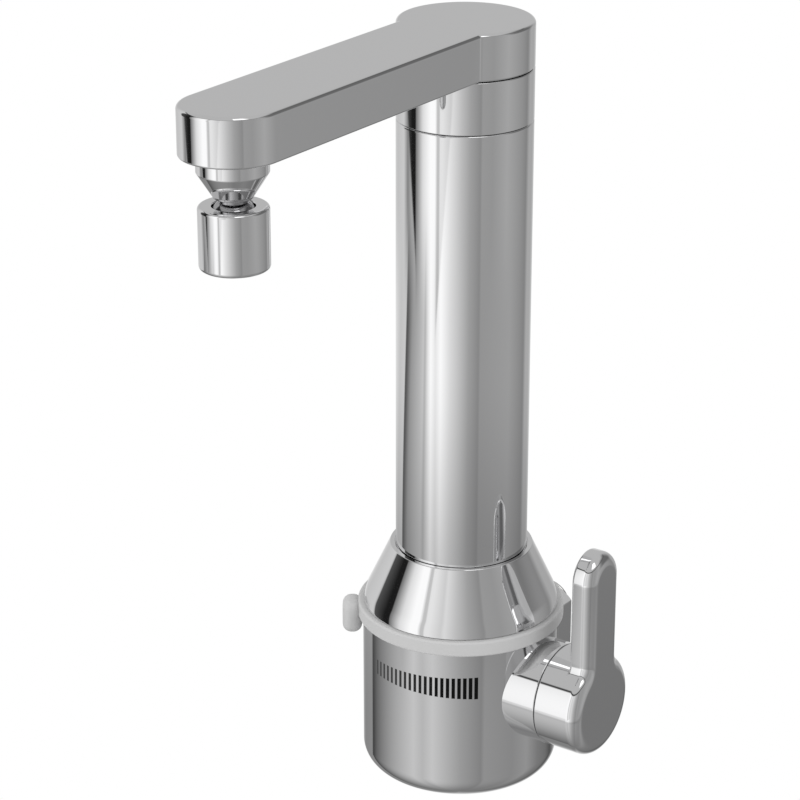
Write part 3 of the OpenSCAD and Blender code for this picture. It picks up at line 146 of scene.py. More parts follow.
# %% Turn a grid into faces
def shell(grid, looped=False, caps=True):
    """Quads between neighbouring rows of a grid whose columns close on themselves. looped joins
    the last row to the first, and caps closes the first and the last row with a flat face. The
    faces are turned round if the volume that they enclose comes out negative."""
    rows, cols = grid.shape[:2]
    index = np.arange(rows * cols).reshape(rows, cols)
    wide = np.concatenate([index, index[:, :1]], 1)
    if looped:
        wide = np.concatenate([wide, wide[:1]], 0)
    quads = np.stack([wide[:-1, :-1], wide[:-1, 1:], wide[1:, 1:], wide[1:, :-1]], -1).reshape(-1, 4)
    lids = [] if looped or not caps else [index[0][::-1], index[-1]]
    points = grid.reshape(-1, 3)
    a, b, c, d = (points[quads[:, k]] for k in range(4))
    volume = np.einsum("ij,ij->", a, np.cross(b, c)) + np.einsum("ij,ij->", a, np.cross(c, d))
    for lid in lids:
        rim = points[lid]
        volume += np.sum(np.cross(rim[1:-1], rim[2:]) @ rim[0])
    faces = [quads] + [lid[None] for lid in lids]
    if volume < 0:
        faces = [f[:, ::-1] for f in faces]
    return points, [row.tolist() for f in faces for row in f]


def piece(name, shells, body, material, stands_for=(), sharp=32):
    """One mesh object from several shells. It is shaded smooth, with creases where two faces meet
    at more than the sharp angle, and it rides on a body."""
    points, faces, start = [], [], 0
    for shell_points, shell_faces in shells:
        points.append(shell_points)
        faces += [[i + start for i in face] for face in shell_faces]
        start += len(shell_points)
    mesh = bpy.data.meshes.new(name)
    mesh.from_pydata(np.concatenate(points).tolist(), [], faces)
    mesh.shade_smooth()
    mesh.set_sharp_from_angle(angle=math.radians(sharp))
    obj = bpy.data.objects.new(name, mesh)
    bpy.context.scene.collection.objects.link(obj)
    obj.data.materials.append(material)
    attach(obj, body)
    if stands_for:
        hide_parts(*stands_for)
    print(name, len(faces), "faces")
    return obj


# %% [markdown]
# ## Materials
#
# Chrome takes its whole look from its surroundings. Its own colour is nearly white, and its
# roughness changes a little over the surface, as polish and finger marks do. One shared node
# group makes that slow change together with a fine grain for the duller finishes.

# %% Build the shared finish group
def finish_group():
    """Slow patches from a large noise and fine grain from a small one, both about one half."""
    group = bpy.data.node_groups.new("handled_finish", "ShaderNodeTree")
    for name, value in (("Patch size", 40.0), ("Grain size", 2500.0), ("Spread", 0.02)):
        socket = group.interface.new_socket(name, in_out="INPUT", socket_type="NodeSocketFloat")
        socket.default_value = value
    group.interface.new_socket("Roughness change", in_out="OUTPUT", socket_type="NodeSocketFloat")
    group.interface.new_socket("Grain height", in_out="OUTPUT", socket_type="NodeSocketFloat")
    nodes, links = group.nodes, group.links
    inside, outside = nodes.new("NodeGroupInput"), nodes.new("NodeGroupOutput")
    place = nodes.new("ShaderNodeTexCoord")
    patch, grain = nodes.new("ShaderNodeTexNoise"), nodes.new("ShaderNodeTexNoise")
    patch.inputs["Detail"].default_value = 4.0
    grain.inputs["Detail"].default_value = 2.0
    for noise, size in ((patch, "Patch size"), (grain, "Grain size")):
        links.new(place.outputs["Object"], noise.inputs["Vector"])
        links.new(inside.outputs[size], noise.inputs["Scale"])
    spread = nodes.new("ShaderNodeMath")
    spread.operation = "MULTIPLY"
    links.new(patch.outputs["Fac"], spread.inputs[0])
    links.new(inside.outputs["Spread"], spread.inputs[1])
    links.new(spread.outputs[0], outside.inputs["Roughness change"])
    links.new(grain.outputs["Fac"], outside.inputs["Grain height"])
    return group


HANDLED = finish_group()
GRAIN_DEPTH = 0.05 * MM


def make_material(name, colour, metal, rough, spread=0.02, grain=0.0, edge=0.0):
    """A material whose roughness is a base value plus the shared patches, with an optional bump.
    edge is a radius: corners sharper than that catch the light as if they were rounded."""
    material = bpy.data.materials.new(name)
    material.use_nodes = True
    nodes, links = material.node_tree.nodes, material.node_tree.links
    shader = nodes["Principled BSDF"]
    shader.inputs["Base Color"].default_value = (*colour, 1)
    shader.inputs["Metallic"].default_value = metal
    surface = nodes.new("ShaderNodeGroup")
    surface.node_tree = HANDLED
    surface.inputs["Spread"].default_value = spread
    add = nodes.new("ShaderNodeMath")
    add.operation = "ADD"
    add.inputs[1].default_value = rough
    links.new(surface.outputs["Roughness change"], add.inputs[0])
    links.new(add.outputs[0], shader.inputs["Roughness"])
    if edge:
        bevel = nodes.new("ShaderNodeBevel")
        bevel.samples = 6
        bevel.inputs["Radius"].default_value = edge
        links.new(bevel.outputs["Normal"], shader.inputs["Normal"])
    if grain:
        bump = nodes.new("ShaderNodeBump")
        bump.inputs["Strength"].default_value = grain
        bump.inputs["Distance"].default_value = GRAIN_DEPTH
        links.new(surface.outputs["Grain height"], bump.inputs["Height"])
        links.new(bump.outputs["Normal"], shader.inputs["Normal"])
    return material


# %% [markdown]
# ## The finishes
#
# A finish is a colour, a metal share, a roughness and how far the roughness wanders, then for the
# duller ones the strength of the grain. The frame's record says which finish each solid has. Two
# castings get a material of their own that rounds their corners in the shading, which costs no
# faces and moves no solid.

# %% Mix the finishes
CAST_EDGE = 0.6 * MM
FINISHES = {
    "chrome": make_material("bright_chrome", (0.88, 0.88, 0.885), 1.0, 0.02, 0.03),
    "cast_chrome": make_material("cast_chrome", (0.88, 0.88, 0.885), 1.0, 0.035, 0.03, edge=CAST_EDGE),
    # The darker chrome is painted shade: it darkens the ball stud where it sits in shadow under the
    # collar and inside the cup.
    "dark_chrome": make_material("chrome_darkened_as_painted_shade", (0.46, 0.46, 0.47), 1.0, 0.07, 0.05),
    "chrome_plastic": make_material("chrome_on_plastic", (0.84, 0.84, 0.85), 1.0, 0.05, 0.04),
    "ring_grey": make_material("satin_grey_plastic", (0.56, 0.56, 0.56), 0.0, 0.42, 0.08, 0.25),
    "brass": make_material("turned_brass", (0.72, 0.53, 0.25), 1.0, 0.22, 0.12, 0.15),
    "plated_brass": make_material("nickel_plate", (0.74, 0.74, 0.73), 1.0, 0.12, 0.08, 0.05),
    "copper": make_material("drawn_copper", (0.78, 0.42, 0.27), 1.0, 0.25, 0.15, 0.1),
    "steel": make_material("plain_steel", (0.58, 0.58, 0.6), 1.0, 0.28, 0.12, 0.15),
    "element_steel": make_material("heat_darkened_steel", (0.3, 0.28, 0.27), 1.0, 0.4, 0.15, 0.2),
    "rubber": make_material("black_rubber", (0.025, 0.025, 0.027), 0.0, 0.55, 0.1, 0.3),
    "white_plastic": make_material("white_plastic", (0.78, 0.78, 0.76), 0.0, 0.35, 0.1, 0.1),
    "grey_plastic": make_material("grey_plastic", (0.3, 0.3, 0.31), 0.0, 0.4, 0.1, 0.15),
    "ceramic": make_material("polished_ceramic", (0.86, 0.85, 0.82), 0.0, 0.12, 0.05),
}
slot_of = {row["node"]: row["material_slot"] for row in frame["record"]["subparts"]}
CAST = ("rear_housing", "spout_plate")
for node, obj in frame["nodes"].items():
    obj.data.materials.clear()
    obj.data.materials.append(FINISHES["cast_chrome" if node in CAST else slot_of[node]])
print(len(FINISHES), "finishes on", len(slot_of), "solids")


def dress(name, shells, body, node, sharp=32):
    """A piece that takes the place of one solid and keeps that solid's finish."""
    slot = slot_of[node]
    return piece(name, shells, body, FINISHES[slot], (node,), sharp)


# %% [markdown]
# ## The round body and the valve boss
#
# The body is a pressed can with a soft bottom edge. A short round boss stands out of its right
# side, and the lever's hub turns on that. A cylinder with a Bevel modifier would give a similar
# can, but a profile puts each fillet where it belongs and gives the wall its thickness at once.
# The boss simply passes through the wall of the can, which leaves the crisp crease that the real
# casting shows.

# %% Model the body
body_low, body_high, body_size = span("body_shell")
BODY_R = body_size[1] / 2
BODY_Z = body_low[2]
BODY_TOP = body_high[2]
BODY_FILLET = 9 * MM
BODY_WALL = 2.2 * MM
hub_low, hub_high, hub_size = span("lever_handle")
HUB_R = hub_size[1] / 2
BOSS_END = body_high[0]
BOSS_WALL = 3.3 * MM
BOSS_ROOT = BODY_R * 0.8
can = rounded([
    (BODY_R / 2, BODY_Z, 0),
    (BODY_R, BODY_Z, BODY_FILLET),
    (BODY_R, BODY_TOP, FINE_EDGE),
    (BODY_R - BODY_WALL, BODY_TOP, FINE_EDGE),
    (BODY_R - BODY_WALL, BODY_Z + BODY_WALL, BODY_FILLET - BODY_WALL),
    (BODY_R / 2, BODY_Z + BODY_WALL, 0),
], steps=16)
boss = rounded([
    (HUB_R - BOSS_WALL, BOSS_ROOT, 0),
    (HUB_R, BOSS_ROOT, 0),
    (HUB_R, BOSS_END, SOFT_EDGE),
    (HUB_R - BOSS_WALL, BOSS_END, FINE_EDGE),
], closed=True)
dress("body_can", [
    shell(lathe(can, AXIS, sides=256)),
    shell(lathe(boss, (0, AXIS[1], VALVE_Z), "x"), looped=True),
], "base", "body_shell")

# %% [markdown]
# ## The heat selector ring
#
# The ring is satin plastic, a little wider than the body, and its tab is a soft block that hangs
# over the body's top edge. A box with round edges is the sum of a smaller box and a ball, so each
# of its points is a corner of the small box plus the ball's own direction.

# %% Model the ring and its tab
ring_low, ring_high, _ = span("selector_ring")
RING_R = 40 * MM
RING_H = 6 * MM
RING_BORE = BODY_R - 2 * MM
RING_EDGE = 0.9 * MM
RING_TOP = ring_high[2]
RING_Z = RING_TOP - RING_H
TAB_REACH = 46 * MM
TAB_W = 11 * MM
TAB_EDGE = 3.4 * MM
TAB_CLEARANCE = 0.4 * MM
TAB_ANGLE = math.radians(215)


def soft_box(half, radius, quarter=9):
    """Point = sign(direction) * (half - radius) + radius * direction, for directions on a ball
    taken eighth by eighth, so that the flats appear between the eighths."""
    turn = np.concatenate([np.linspace(q, q + 1, quarter) for q in range(4)]) * np.pi / 2
    turn_side = np.repeat(np.arange(4), quarter) * np.pi / 2 + np.pi / 4
    lift = np.concatenate([np.linspace(1, 0, quarter), np.linspace(0, -1, quarter)]) * np.pi / 2
    lift_side = np.repeat([1.0, -1.0], quarter)
    direction = np.stack([
        np.cos(lift)[:, None] * np.cos(turn),
        np.cos(lift)[:, None] * np.sin(turn),
        np.sin(lift)[:, None] + 0 * turn,
    ], -1)
    sign = np.stack([
        np.broadcast_to(np.sign(np.cos(turn_side)), direction.shape[:2]),
        np.broadcast_to(np.sign(np.sin(turn_side)), direction.shape[:2]),
        np.broadcast_to(lift_side[:, None], direction.shape[:2]),
    ], -1)
    return sign * (np.asarray(half) - radius) + radius * direction


band = rounded([
    (RING_BORE, RING_Z, CRISP_EDGE),
    (RING_R, RING_Z, RING_EDGE),
    (RING_R, RING_TOP, RING_EDGE),
    (RING_BORE, RING_TOP, CRISP_EDGE),
], closed=True)
tab_in = BODY_R + TAB_CLEARANCE
tab_size = np.array([TAB_REACH - tab_in, TAB_W, RING_TOP - ring_low[2]]) / 2
tab = soft_box(tab_size, TAB_EDGE) + [tab_in + tab_size[0], 0, ring_low[2] + tab_size[2]]
cosine, sine = math.cos(TAB_ANGLE), math.sin(TAB_ANGLE)
tab = tab @ np.array([[cosine, sine, 0], [-sine, cosine, 0], [0, 0, 1]]) + AXIS
dress("selector_band", [
    shell(lathe(band, AXIS, sides=256), looped=True),
    shell(tab),
], "selector", "selector_ring")

# %% [markdown]
# ## The shoulder cone and the column
#
# The cone's outer line is a round shoulder that runs on into a straight slope. It ends in a thin
# lip round a narrow groove, out of which the column rises. The column is a plain drawn tube with
# a collar on top; the fine gaps between them are what draws the dark seams.

# %% Model the cone
cone_low, cone_high, _ = span("shoulder_cone")
CONE_TOP = cone_high[2]
SHOULDER_R = 21 * MM
SLOPE = math.radians(25)
RIM_R = 27.4 * MM
GROOVE_R = COLUMN_R + 0.4 * MM
GROOVE_Z = CONE_TOP - 0.9 * MM
GROOVE_EDGE = 0.15 * MM
SLEEVE_R = COLUMN_R + 0.1 * MM
SLEEVE_L = 5 * MM
FOOT_R = BODY_R - 3 * MM
shoulder_x = BODY_R - SHOULDER_R
join_r = shoulder_x + SHOULDER_R * math.cos(SLOPE)
join_z = CONE_TOP - (join_r - RIM_R) / math.tan(SLOPE)
shoulder_z = join_z - SHOULDER_R * math.sin(SLOPE)
sweep = np.linspace(math.asin((cone_low[2] - shoulder_z) / SHOULDER_R), SLOPE, 24)
shoulder = SHOULDER_R * np.stack([np.cos(sweep), np.sin(sweep)], -1) + [shoulder_x, shoulder_z]
lip = rounded([
    (*shoulder[-1], 0),
    (RIM_R, CONE_TOP, SOFT_EDGE),
    (GROOVE_R, CONE_TOP, GROOVE_EDGE),
    (GROOVE_R, GROOVE_Z, 0),
    (SLEEVE_R, GROOVE_Z, 0),
    (SLEEVE_R, CONE_TOP - SLEEVE_L, 0),
    (FOOT_R, cone_low[2], 0),
])
dress("shoulder_cone_skin", [
    shell(lathe(np.concatenate([shoulder[:-1], lip]), AXIS, sides=256), looped=True),
], "base", "shoulder_cone")


# %% Model the column and its collar
def tube(radius, wall, z0, z1, low_edge, high_edge, sides=256):
    """A turned tube: a rectangle with rounded corners carried round the axis."""
    section = rounded([
        (radius, z0, low_edge),
        (radius, z1, high_edge),
        (radius - wall, z1, high_edge),
        (radius - wall, z0, low_edge),
    ], closed=True, steps=6)
    return shell(lathe(section, AXIS, sides=sides), looped=True)


COLUMN_WALL = 1.5 * MM
COLUMN_TOP_EDGE = 0.7 * MM
COLLAR_WALL = 3 * MM
collar_low, collar_high, _ = span("column_collar")
dress("column_skin", [
    tube(COLUMN_R, COLUMN_WALL, column_low[2], column_high[2], CRISP_EDGE, COLUMN_TOP_EDGE),
], "base", "column_tube")
dress("collar_skin", [
    tube(COLUMN_R, COLLAR_WALL, collar_low[2], collar_high[2], CRISP_EDGE, SOFT_EDGE),
], "base", "column_collar")

# %% [markdown]
# ## The arm and the lever share one outline
#
# Seen flat, both are paddles: a round hub, a straight blade with a round end, and a small fillet
# in the corner where blade meets hub. Moving such an outline inwards by some distance only makes
# its outer arcs smaller and the corner fillet larger, so the outline can be worked out exactly at
# any inset. A stack of insets then gives the rounded edges.

# %% Draw the paddle outline
def paddle(hub, half, reach, fillet, inset, counts=(72, 12, 24, 36)):
    """Outline of a hub at the origin and a blade along +b. For an inset d its arcs have the radii
    hub - d, fillet + d and half - d. inset has one row per level, and one column or one value per
    outline point. The left half mirrors the right half."""
    corner_b = math.sqrt((hub + fillet) ** 2 - (half + fillet) ** 2)
    meet = math.atan2(corner_b, half + fillet)
    hub_turn = np.linspace(-np.pi / 2, meet, counts[0])
    foot_turn = np.linspace(meet + np.pi, np.pi, counts[1])
    tip_turn = np.linspace(0, np.pi / 2, counts[3])
    total = sum(counts)
    right = np.broadcast_to(inset, (len(inset), 2 * total - 2))[:, :total]
    parts, start = [], 0
    for kind, count in enumerate(counts):
        inward = right[:, start:start + count]
        if kind == 0:
            a, b = (hub - inward) * np.cos(hub_turn), (hub - inward) * np.sin(hub_turn)
        elif kind == 1:
            a = half + fillet + (fillet + inward) * np.cos(foot_turn)
            b = corner_b + (fillet + inward) * np.sin(foot_turn)
        elif kind == 2:
            run = np.linspace(0, 1, count + 2)[1:-1]
            a, b = half - inward, corner_b + (reach - corner_b) * run + 0 * inward
        else:
            a, b = (half - inward) * np.cos(tip_turn), reach + (half - inward) * np.sin(tip_turn)
        parts.append(np.stack([a + 0 * inward, b + 0 * inward], -1))
        start += count
    side = np.concatenate(parts, 1)
    other = side[:, -2:0:-1] * [-1, 1]
    return np.concatenate([side, other], 1)


# %% [markdown]
# ## The spout arm
#
# The arm is a hollow casting that is open below, where a plate closes it. Its upper edge has a
# small fillet, which shows as one light and one dark line beside the flat top. A box with a Bevel
# modifier would fold over itself in the tight corner at the hub, so the arm is a stack: the
# section gives an inset and a height for each level, from the lid over the outside to the inside.

# %% Model the arm
arm_low, arm_high, arm_size = span("spout_arm")
ARM_HALF = 18 * MM
ARM_REACH = AXIS[1] - arm_low[1] - ARM_HALF
ARM_WALL = 2 * MM
ARM_LID = 7 * MM
ARM_TOP_EDGE = 1.6 * MM
ARM_LOW_EDGE = 0.7 * MM
ARM_INNER_EDGE = 0.5 * MM
ARM_FILLET = 1 * MM
section = rounded([
    (ARM_LID, arm_high[2], 0),
    (0, arm_high[2], ARM_TOP_EDGE),
    (0, arm_low[2], ARM_LOW_EDGE),
    (ARM_WALL, arm_low[2], FINE_EDGE),
    (ARM_WALL, arm_high[2] - ARM_WALL, ARM_INNER_EDGE),
    (ARM_LID, arm_high[2] - ARM_WALL, 0),
])
flat = paddle(arm_size[0] / 2, ARM_HALF, ARM_REACH, ARM_FILLET, section[:, :1])
level = np.repeat(section[:, 1:], flat.shape[1], 1)
arm = np.stack([flat[..., 0], AXIS[1] - flat[..., 1], level], -1)
dress("arm_casting", [shell(arm)], "spout", "spout_arm")

# %% [markdown]
# ## The lever
#
# The lever's outer face is the same kind of paddle with a large fillet all round. Behind the
# blade the casting ends, and behind the hub it goes on as a plain cylinder up to the boss. Only
# the blade has rounded back edges, so the inset there is multiplied by a mask that is 0 on the
# hub and 1 on the blade.

# %% Model the lever
BLADE_HALF = 10.4 * MM
BLADE_T = 9.2 * MM
FACE_LID = 8 * MM
FACE_EDGE = 4.6 * MM
BACK_EDGE = 1.2 * MM
LEVER_FILLET = 5 * MM
HUB_BORE = 4.3 * MM
LEVER_X = hub_high[0]
blade_reach = hub_high[2] - VALVE_Z - BLADE_HALF
LEVER_COUNTS = (72, 14, 24, 40)
mask_side = np.concatenate([
    np.zeros(LEVER_COUNTS[0]),
    np.linspace(0, 1, LEVER_COUNTS[1]),
    np.ones(LEVER_COUNTS[2] + LEVER_COUNTS[3]),
])
mask = np.concatenate([mask_side, mask_side[-2:0:-1]])
front = rounded([
    (FACE_LID, 0, 0),
    (0, 0, FACE_EDGE),
    (0, BLADE_T - BACK_EDGE, 0),
], steps=16)
turn = np.linspace(0, np.pi / 2, 8)[1:]
inset = np.concatenate([
    np.repeat(front[:, :1], len(mask), 1),
    BACK_EDGE * (1 - np.cos(turn))[:, None] * mask,
])
depth = np.concatenate([front[:, 1], BLADE_T - BACK_EDGE + BACK_EDGE * np.sin(turn)])
flat = paddle(HUB_R, BLADE_HALF, blade_reach, LEVER_FILLET, inset, LEVER_COUNTS)
lever = np.stack([
    LEVER_X - np.repeat(depth[:, None], len(mask), 1),
    AXIS[1] + flat[..., 0],
    VALVE_Z + flat[..., 1],
], -1)
hub = rounded([
    (HUB_BORE, LEVER_X - BLADE_T, 0),
    (HUB_R, LEVER_X - BLADE_T, 0),
    (HUB_R, hub_low[0], SOFT_EDGE),
    (HUB_BORE, hub_low[0], CRISP_EDGE),
], closed=True)
dress("lever_casting", [
    shell(lever),
    shell(lathe(hub, (0, AXIS[1], VALVE_Z), "x"), looped=True),
], "lever", "lever_handle")

# %% [markdown]
# ## The jointed aerator
#
# Below the arm's tip hangs a turned collar that tapers to a neck. The neck carries a polished
# ball, and the aerator's cup grips that ball, so that the jet can be tilted and turned. All three
# are turned on a lathe in reality, and so they are here. The cup's bore keeps clear of the ball
# and its neck at the largest tilt.

# %% Turn the outlet collar
cup_low, cup_high, cup_size = span("aerator_cup")
SPOUT = (cup_low + cup_high) / 2 * [1, 1, 0]
outlet_low, outlet_high, _ = span("outlet_collar")
OUTLET_R = 12.2 * MM
OUTLET_H = 5.6 * MM
OUTLET_BORE = 5.9 * MM
OUTLET_EDGE = 0.8 * MM
NECK_R = 7.1 * MM
NECK_EDGE = 0.4 * MM
THIN_EDGE = 0.25 * MM
outlet = rounded([
    (OUTLET_BORE, outlet_low[2], 0),
    (NECK_R, outlet_low[2], NECK_EDGE),
    (OUTLET_R, outlet_high[2] - OUTLET_H, OUTLET_EDGE),
    (OUTLET_R, outlet_high[2], THIN_EDGE),
    (OUTLET_BORE, outlet_high[2], 0),
], closed=True)
dress("outlet_collar_skin", [shell(lathe(outlet, SPOUT), looped=True)], "spout", "outlet_collar")

# %% Turn the cup
CUP_R = cup_size[0] / 2
CUP_BORE = CUP_R - 2.4 * MM
CUP_EDGE = 1.3 * MM
BALL_R = 8 * MM
BALL_Z = cup_high[2] - 4.9 * MM
SOCKET_R = BALL_R + 0.25 * MM
SOCKET_TOP = BALL_Z + 0.8 * MM
MOUTH_R = 7.3 * MM
MOUTH_Z = BALL_Z + 3.8 * MM
MOUTH_EDGE = 0.5 * MM
cup = rounded([
    (CUP_R, cup_low[2], CUP_EDGE),
    (CUP_R, cup_high[2], CUP_EDGE),
    (MOUTH_R, cup_high[2], MOUTH_EDGE),
    (MOUTH_R, MOUTH_Z, 0),
    (SOCKET_R, SOCKET_TOP, 0),
    (SOCKET_R, BALL_Z, 0),
    (CUP_BORE, BALL_Z, 0),
    (CUP_BORE, cup_low[2], NECK_EDGE),
], closed=True, steps=12)
dress("aerator_cup_skin", [shell(lathe(cup, SPOUT), looped=True)], "aerator", "aerator_cup")

# %% Turn the ball stud
BALL_BORE = 2.8 * MM
BALL_NECK = 5 * MM
FLANGE_R = NECK_R - 0.3 * MM
FLANGE_Z = outlet_low[2] - 0.8 * MM
FLANGE_TOP = outlet_low[2] - 0.05 * MM
SHANK_R = 5.8 * MM
_, stud_high, _ = span("ball_stud")
lowest = math.asin(-math.sqrt(1 - (BALL_BORE / BALL_R) ** 2))
neck_turn = np.linspace(lowest, math.acos(BALL_NECK / BALL_R), 40)
ball = np.stack([BALL_R * np.cos(neck_turn), BALL_Z + BALL_R * np.sin(neck_turn)], -1)
stud = np.concatenate([ball, rounded([
    (BALL_NECK, ball[-1, 1] + CRISP_EDGE, 0),
    (BALL_NECK, FLANGE_Z, FINE_EDGE),
    (FLANGE_R, FLANGE_Z, THIN_EDGE),
    (FLANGE_R, FLANGE_TOP, 0),
    (SHANK_R, FLANGE_TOP, 0),
    (SHANK_R, stud_high[2], FINE_EDGE),
    (BALL_BORE, stud_high[2], 0),
])])
# The ball stud gets the darker chrome, painted shade for the shadow between the collar and the cup.
piece("ball_stud_skin", [shell(lathe(stud, SPOUT), looped=True)], "spout", FINISHES["dark_chrome"],
      ("ball_stud",))

# %% [markdown]
# ## The threaded inlet
#
# The thread is a helix: the radius at each point depends on how far along the stub it is and on
# its angle, so one turn moves the same tooth on by one pitch. The hexagon is the smaller of a
# hexagon's radius and the cone that chamfers its corners.

# %% Cut the thread
THREAD_L = 14 * MM
THREAD_R = 10.48 * MM
PITCH = 1.814 * MM
TOOTH = 1.16 * MM
RUN_OUT = 1.2 * PITCH
FULL_TOOTH_SHARE = 1 / 1.4
END_DROP = 0.6 * TOOTH
STUB_BORE = 6.5 * MM
ORIGIN = (0, 0, 0)

turn = np.linspace(0, 2 * np.pi, 120, endpoint=False)
run = np.linspace(0, THREAD_L, 140)[:, None]
phase = (run / PITCH - turn / (2 * np.pi)) % 1
tooth = 1 - np.abs(2 * phase - 1)
fade = np.clip(np.minimum(run, THREAD_L - run) / RUN_OUT, 0, 1)
cut_in = TOOTH * (1 - tooth) * np.clip(fade / FULL_TOOTH_SHARE, 0, 1)
radius = THREAD_R - cut_in - END_DROP * (1 - fade)
rows = np.concatenate([around(radius, turn, run), around(STUB_BORE, turn, run[::-1])])
thread = along(rows, ORIGIN, "y")
print("thread of", round(THREAD_L / PITCH, 1), "turns")

# %% Cut the hexagon and the neck behind it
HEX_HALF = 12 * MM
HEX_CORNER = 13.9 * MM
HEX_FACE = 12.2 * MM
HEX_CHAMFER = 0.9 * MM
HEX_Y = -6.7 * MM
STUB_NECK = 9.4 * MM
STUB_EDGE = 0.6 * MM
turn = np.linspace(0, 2 * np.pi, 180, endpoint=False)
across = HEX_HALF / np.cos((turn + np.pi / 6) % (np.pi / 3) - np.pi / 6)
run = np.array([HEX_Y, HEX_Y, HEX_Y + HEX_CHAMFER, -HEX_CHAMFER, 0, 0])[:, None]
limit = np.array([STUB_BORE, HEX_FACE, HEX_CORNER, HEX_CORNER, HEX_FACE, STUB_BORE])[:, None]
hexagon = along(around(np.minimum(across, limit), turn, run), ORIGIN, "y")
neck = rounded([
    (STUB_NECK, stub_low[1], STUB_EDGE),
    (STUB_NECK, HEX_Y, 0),
    (STUB_BORE, HEX_Y, 0),
    (STUB_BORE, stub_low[1], 0),
], closed=True)
piece("threaded_inlet", [
    shell(thread, looped=True),
    shell(hexagon, looped=True),
    shell(lathe(neck, ORIGIN, "y"), looped=True),
], "base", FINISHES["plated_brass"], ("inlet_stub",), 40)

# %% [markdown]
# ## The printed heat scale
#
# A row of upright bars runs round the front of the body under the ring, from short and pale to
# long and black. A picture wrapped round the can would do, but it would blur up close. So each
# bar is a very thin curved tile on the can, and one ink gets darker from one end of the row to
# the other, because its colour follows the place on the body.

# %% Print the scale
BARS = 21
FIRST, LAST = math.radians(-23), math.radians(43)
step = (LAST - FIRST) / (BARS - 1)
share = np.linspace(0, 1, BARS)
bar_turn = FIRST + share * (LAST - FIRST)
half_share = 0.2 + 0.13 * share
HEAD_Z, HEAD_RISE = 52.5 * MM, 1.4 * MM
BAR_L, BAR_GROWTH = 6 * MM, 3.2 * MM
bar_top = BODY_Z + HEAD_Z + HEAD_RISE * share
bar_low = bar_top - BAR_L - BAR_GROWTH * share
INK_OUT = 0.02 * MM
INK_IN = 0.05 * MM
# A tile's outline goes across its outer face and back along its inner face
SIDE_SHARE = np.array([-1, -0.33, 0.33, 1, 1, 0.33, -0.33, -1])
ink_radius = BODY_R + np.where(np.arange(8) < 4, INK_OUT, -INK_IN)
tiles = []
for k in range(BARS):
    ink_turn = bar_turn[k] + step * half_share[k] * SIDE_SHARE - np.pi / 2
    tile = around(ink_radius, ink_turn, np.array([bar_low[k], bar_top[k]])[:, None])
    tiles.append(shell(tile + AXIS))

# %% Mix the ink
INK_GLOSS = 0.08
PALE_INK, DARK_INK = 0.06, 0.004
BLACK_SHARE = 0.5
ink = make_material("scale_ink", (0.02, 0.02, 0.02), 0.0, 0.6, 0.1)
ink_nodes, ink_links = ink.node_tree.nodes, ink.node_tree.links
ink_nodes["Principled BSDF"].inputs["Specular IOR Level"].default_value = INK_GLOSS
place, parts = ink_nodes.new("ShaderNodeTexCoord"), ink_nodes.new("ShaderNodeSeparateXYZ")
ramp = ink_nodes.new("ShaderNodeValToRGB")
for element, grey in zip(ramp.color_ramp.elements, (PALE_INK, DARK_INK)):
    element.color = (grey, grey, grey, 1)
reach = ink_nodes.new("ShaderNodeMapRange")
reach.inputs["From Min"].default_value = BODY_R * math.sin(FIRST)
reach.inputs["From Max"].default_value = BODY_R * math.sin(LAST) * BLACK_SHARE
ink_links.new(place.outputs["Object"], parts.inputs["Vector"])
ink_links.new(parts.outputs["X"], reach.inputs["Value"])
ink_links.new(reach.outputs["Result"], ramp.inputs["Fac"])
ink_links.new(ramp.outputs["Color"], ink_nodes["Principled BSDF"].inputs["Base Color"])
piece("heat_scale", tiles, "base", ink)

# %% [markdown]
# ## The camera
#
# The photograph's camera was worked out from the straight edges and round seams of the tap. It
# stands in front, to the right and above, and looks down by about 22 degrees through a long lens.
# Its three directions are written as the columns of its matrix, which needs no turning angles.

# %% Set the camera
TURN = math.radians(35)
TILT = math.radians(21.844)
DISTANCE = 1.06213
PICTURE_PX = 800
FOCAL_PX = 2807.5
SENSOR = 36
LENS = FOCAL_PX / PICTURE_PX * SENSOR
AIM_LEFT = 23.648 * MM
AIM_UP = 152.18 * MM
right = np.array([math.cos(TURN), math.sin(TURN), 0])
towards = np.array([math.sin(TURN) * math.cos(TILT), -math.cos(TURN) * math.cos(TILT), math.sin(TILT)])
target = AXIS - AIM_LEFT * right + [0, 0, BODY_Z + AIM_UP]
camera_data = bpy.data.cameras.new("camera")
camera_data.lens = LENS
camera_data.sensor_width = SENSOR
camera_data.clip_start = 0.05
camera = bpy.data.objects.new("camera", camera_data)
turned = np.eye(4)
turned[:3, 0], turned[:3, 1], turned[:3, 2] = right, np.cross(towards, right), towards
turned[:3, 3] = target + DISTANCE * towards
camera.matrix_world = Matrix(turned.tolist())
bpy.context.scene.collection.objects.link(camera)
bpy.context.scene.camera = camera
print("lens", round(LENS, 1), "mm at", round(DISTANCE, 3), "m")

# %% [markdown]
# ## Light and surroundings
#
# Dull surfaces are lit evenly by a pale world and two large soft lamps. Chrome shows what stands
# round it, so for reflected rays the world is a photographer's light tent. Real cloths and a real
# table could stand round the tap, but they would be in the way of other views, so the tent is
# worked out from the direction alone. A direction is told by its compass angle, which is 0
# towards the camera and grows to its right, and by its height. The pattern is fixed in space, so
# it stays put in every view and pose.

# %% Tools for the tent's pattern
scene = bpy.context.scene
scene.view_settings.view_transform = "Standard"
world = bpy.data.worlds.new("light_tent")
scene.world = world
world.use_nodes = True
tree = world.node_tree
tree.nodes.clear()


def maths(operation, *values):
    """One Math node; a value may be a number or another node's output."""
    made = tree.nodes.new("ShaderNodeMath")
    made.operation = operation
    for k, value in enumerate(values):
        if isinstance(value, (int, float)):
            made.inputs[k].default_value = value
        else:
            tree.links.new(value, made.inputs[k])
    return made.outputs[0]


def times(*values):
    """Product of several values."""
    product = values[0]
    for value in values[1:]:
        product = maths("MULTIPLY", product, value)
    return product


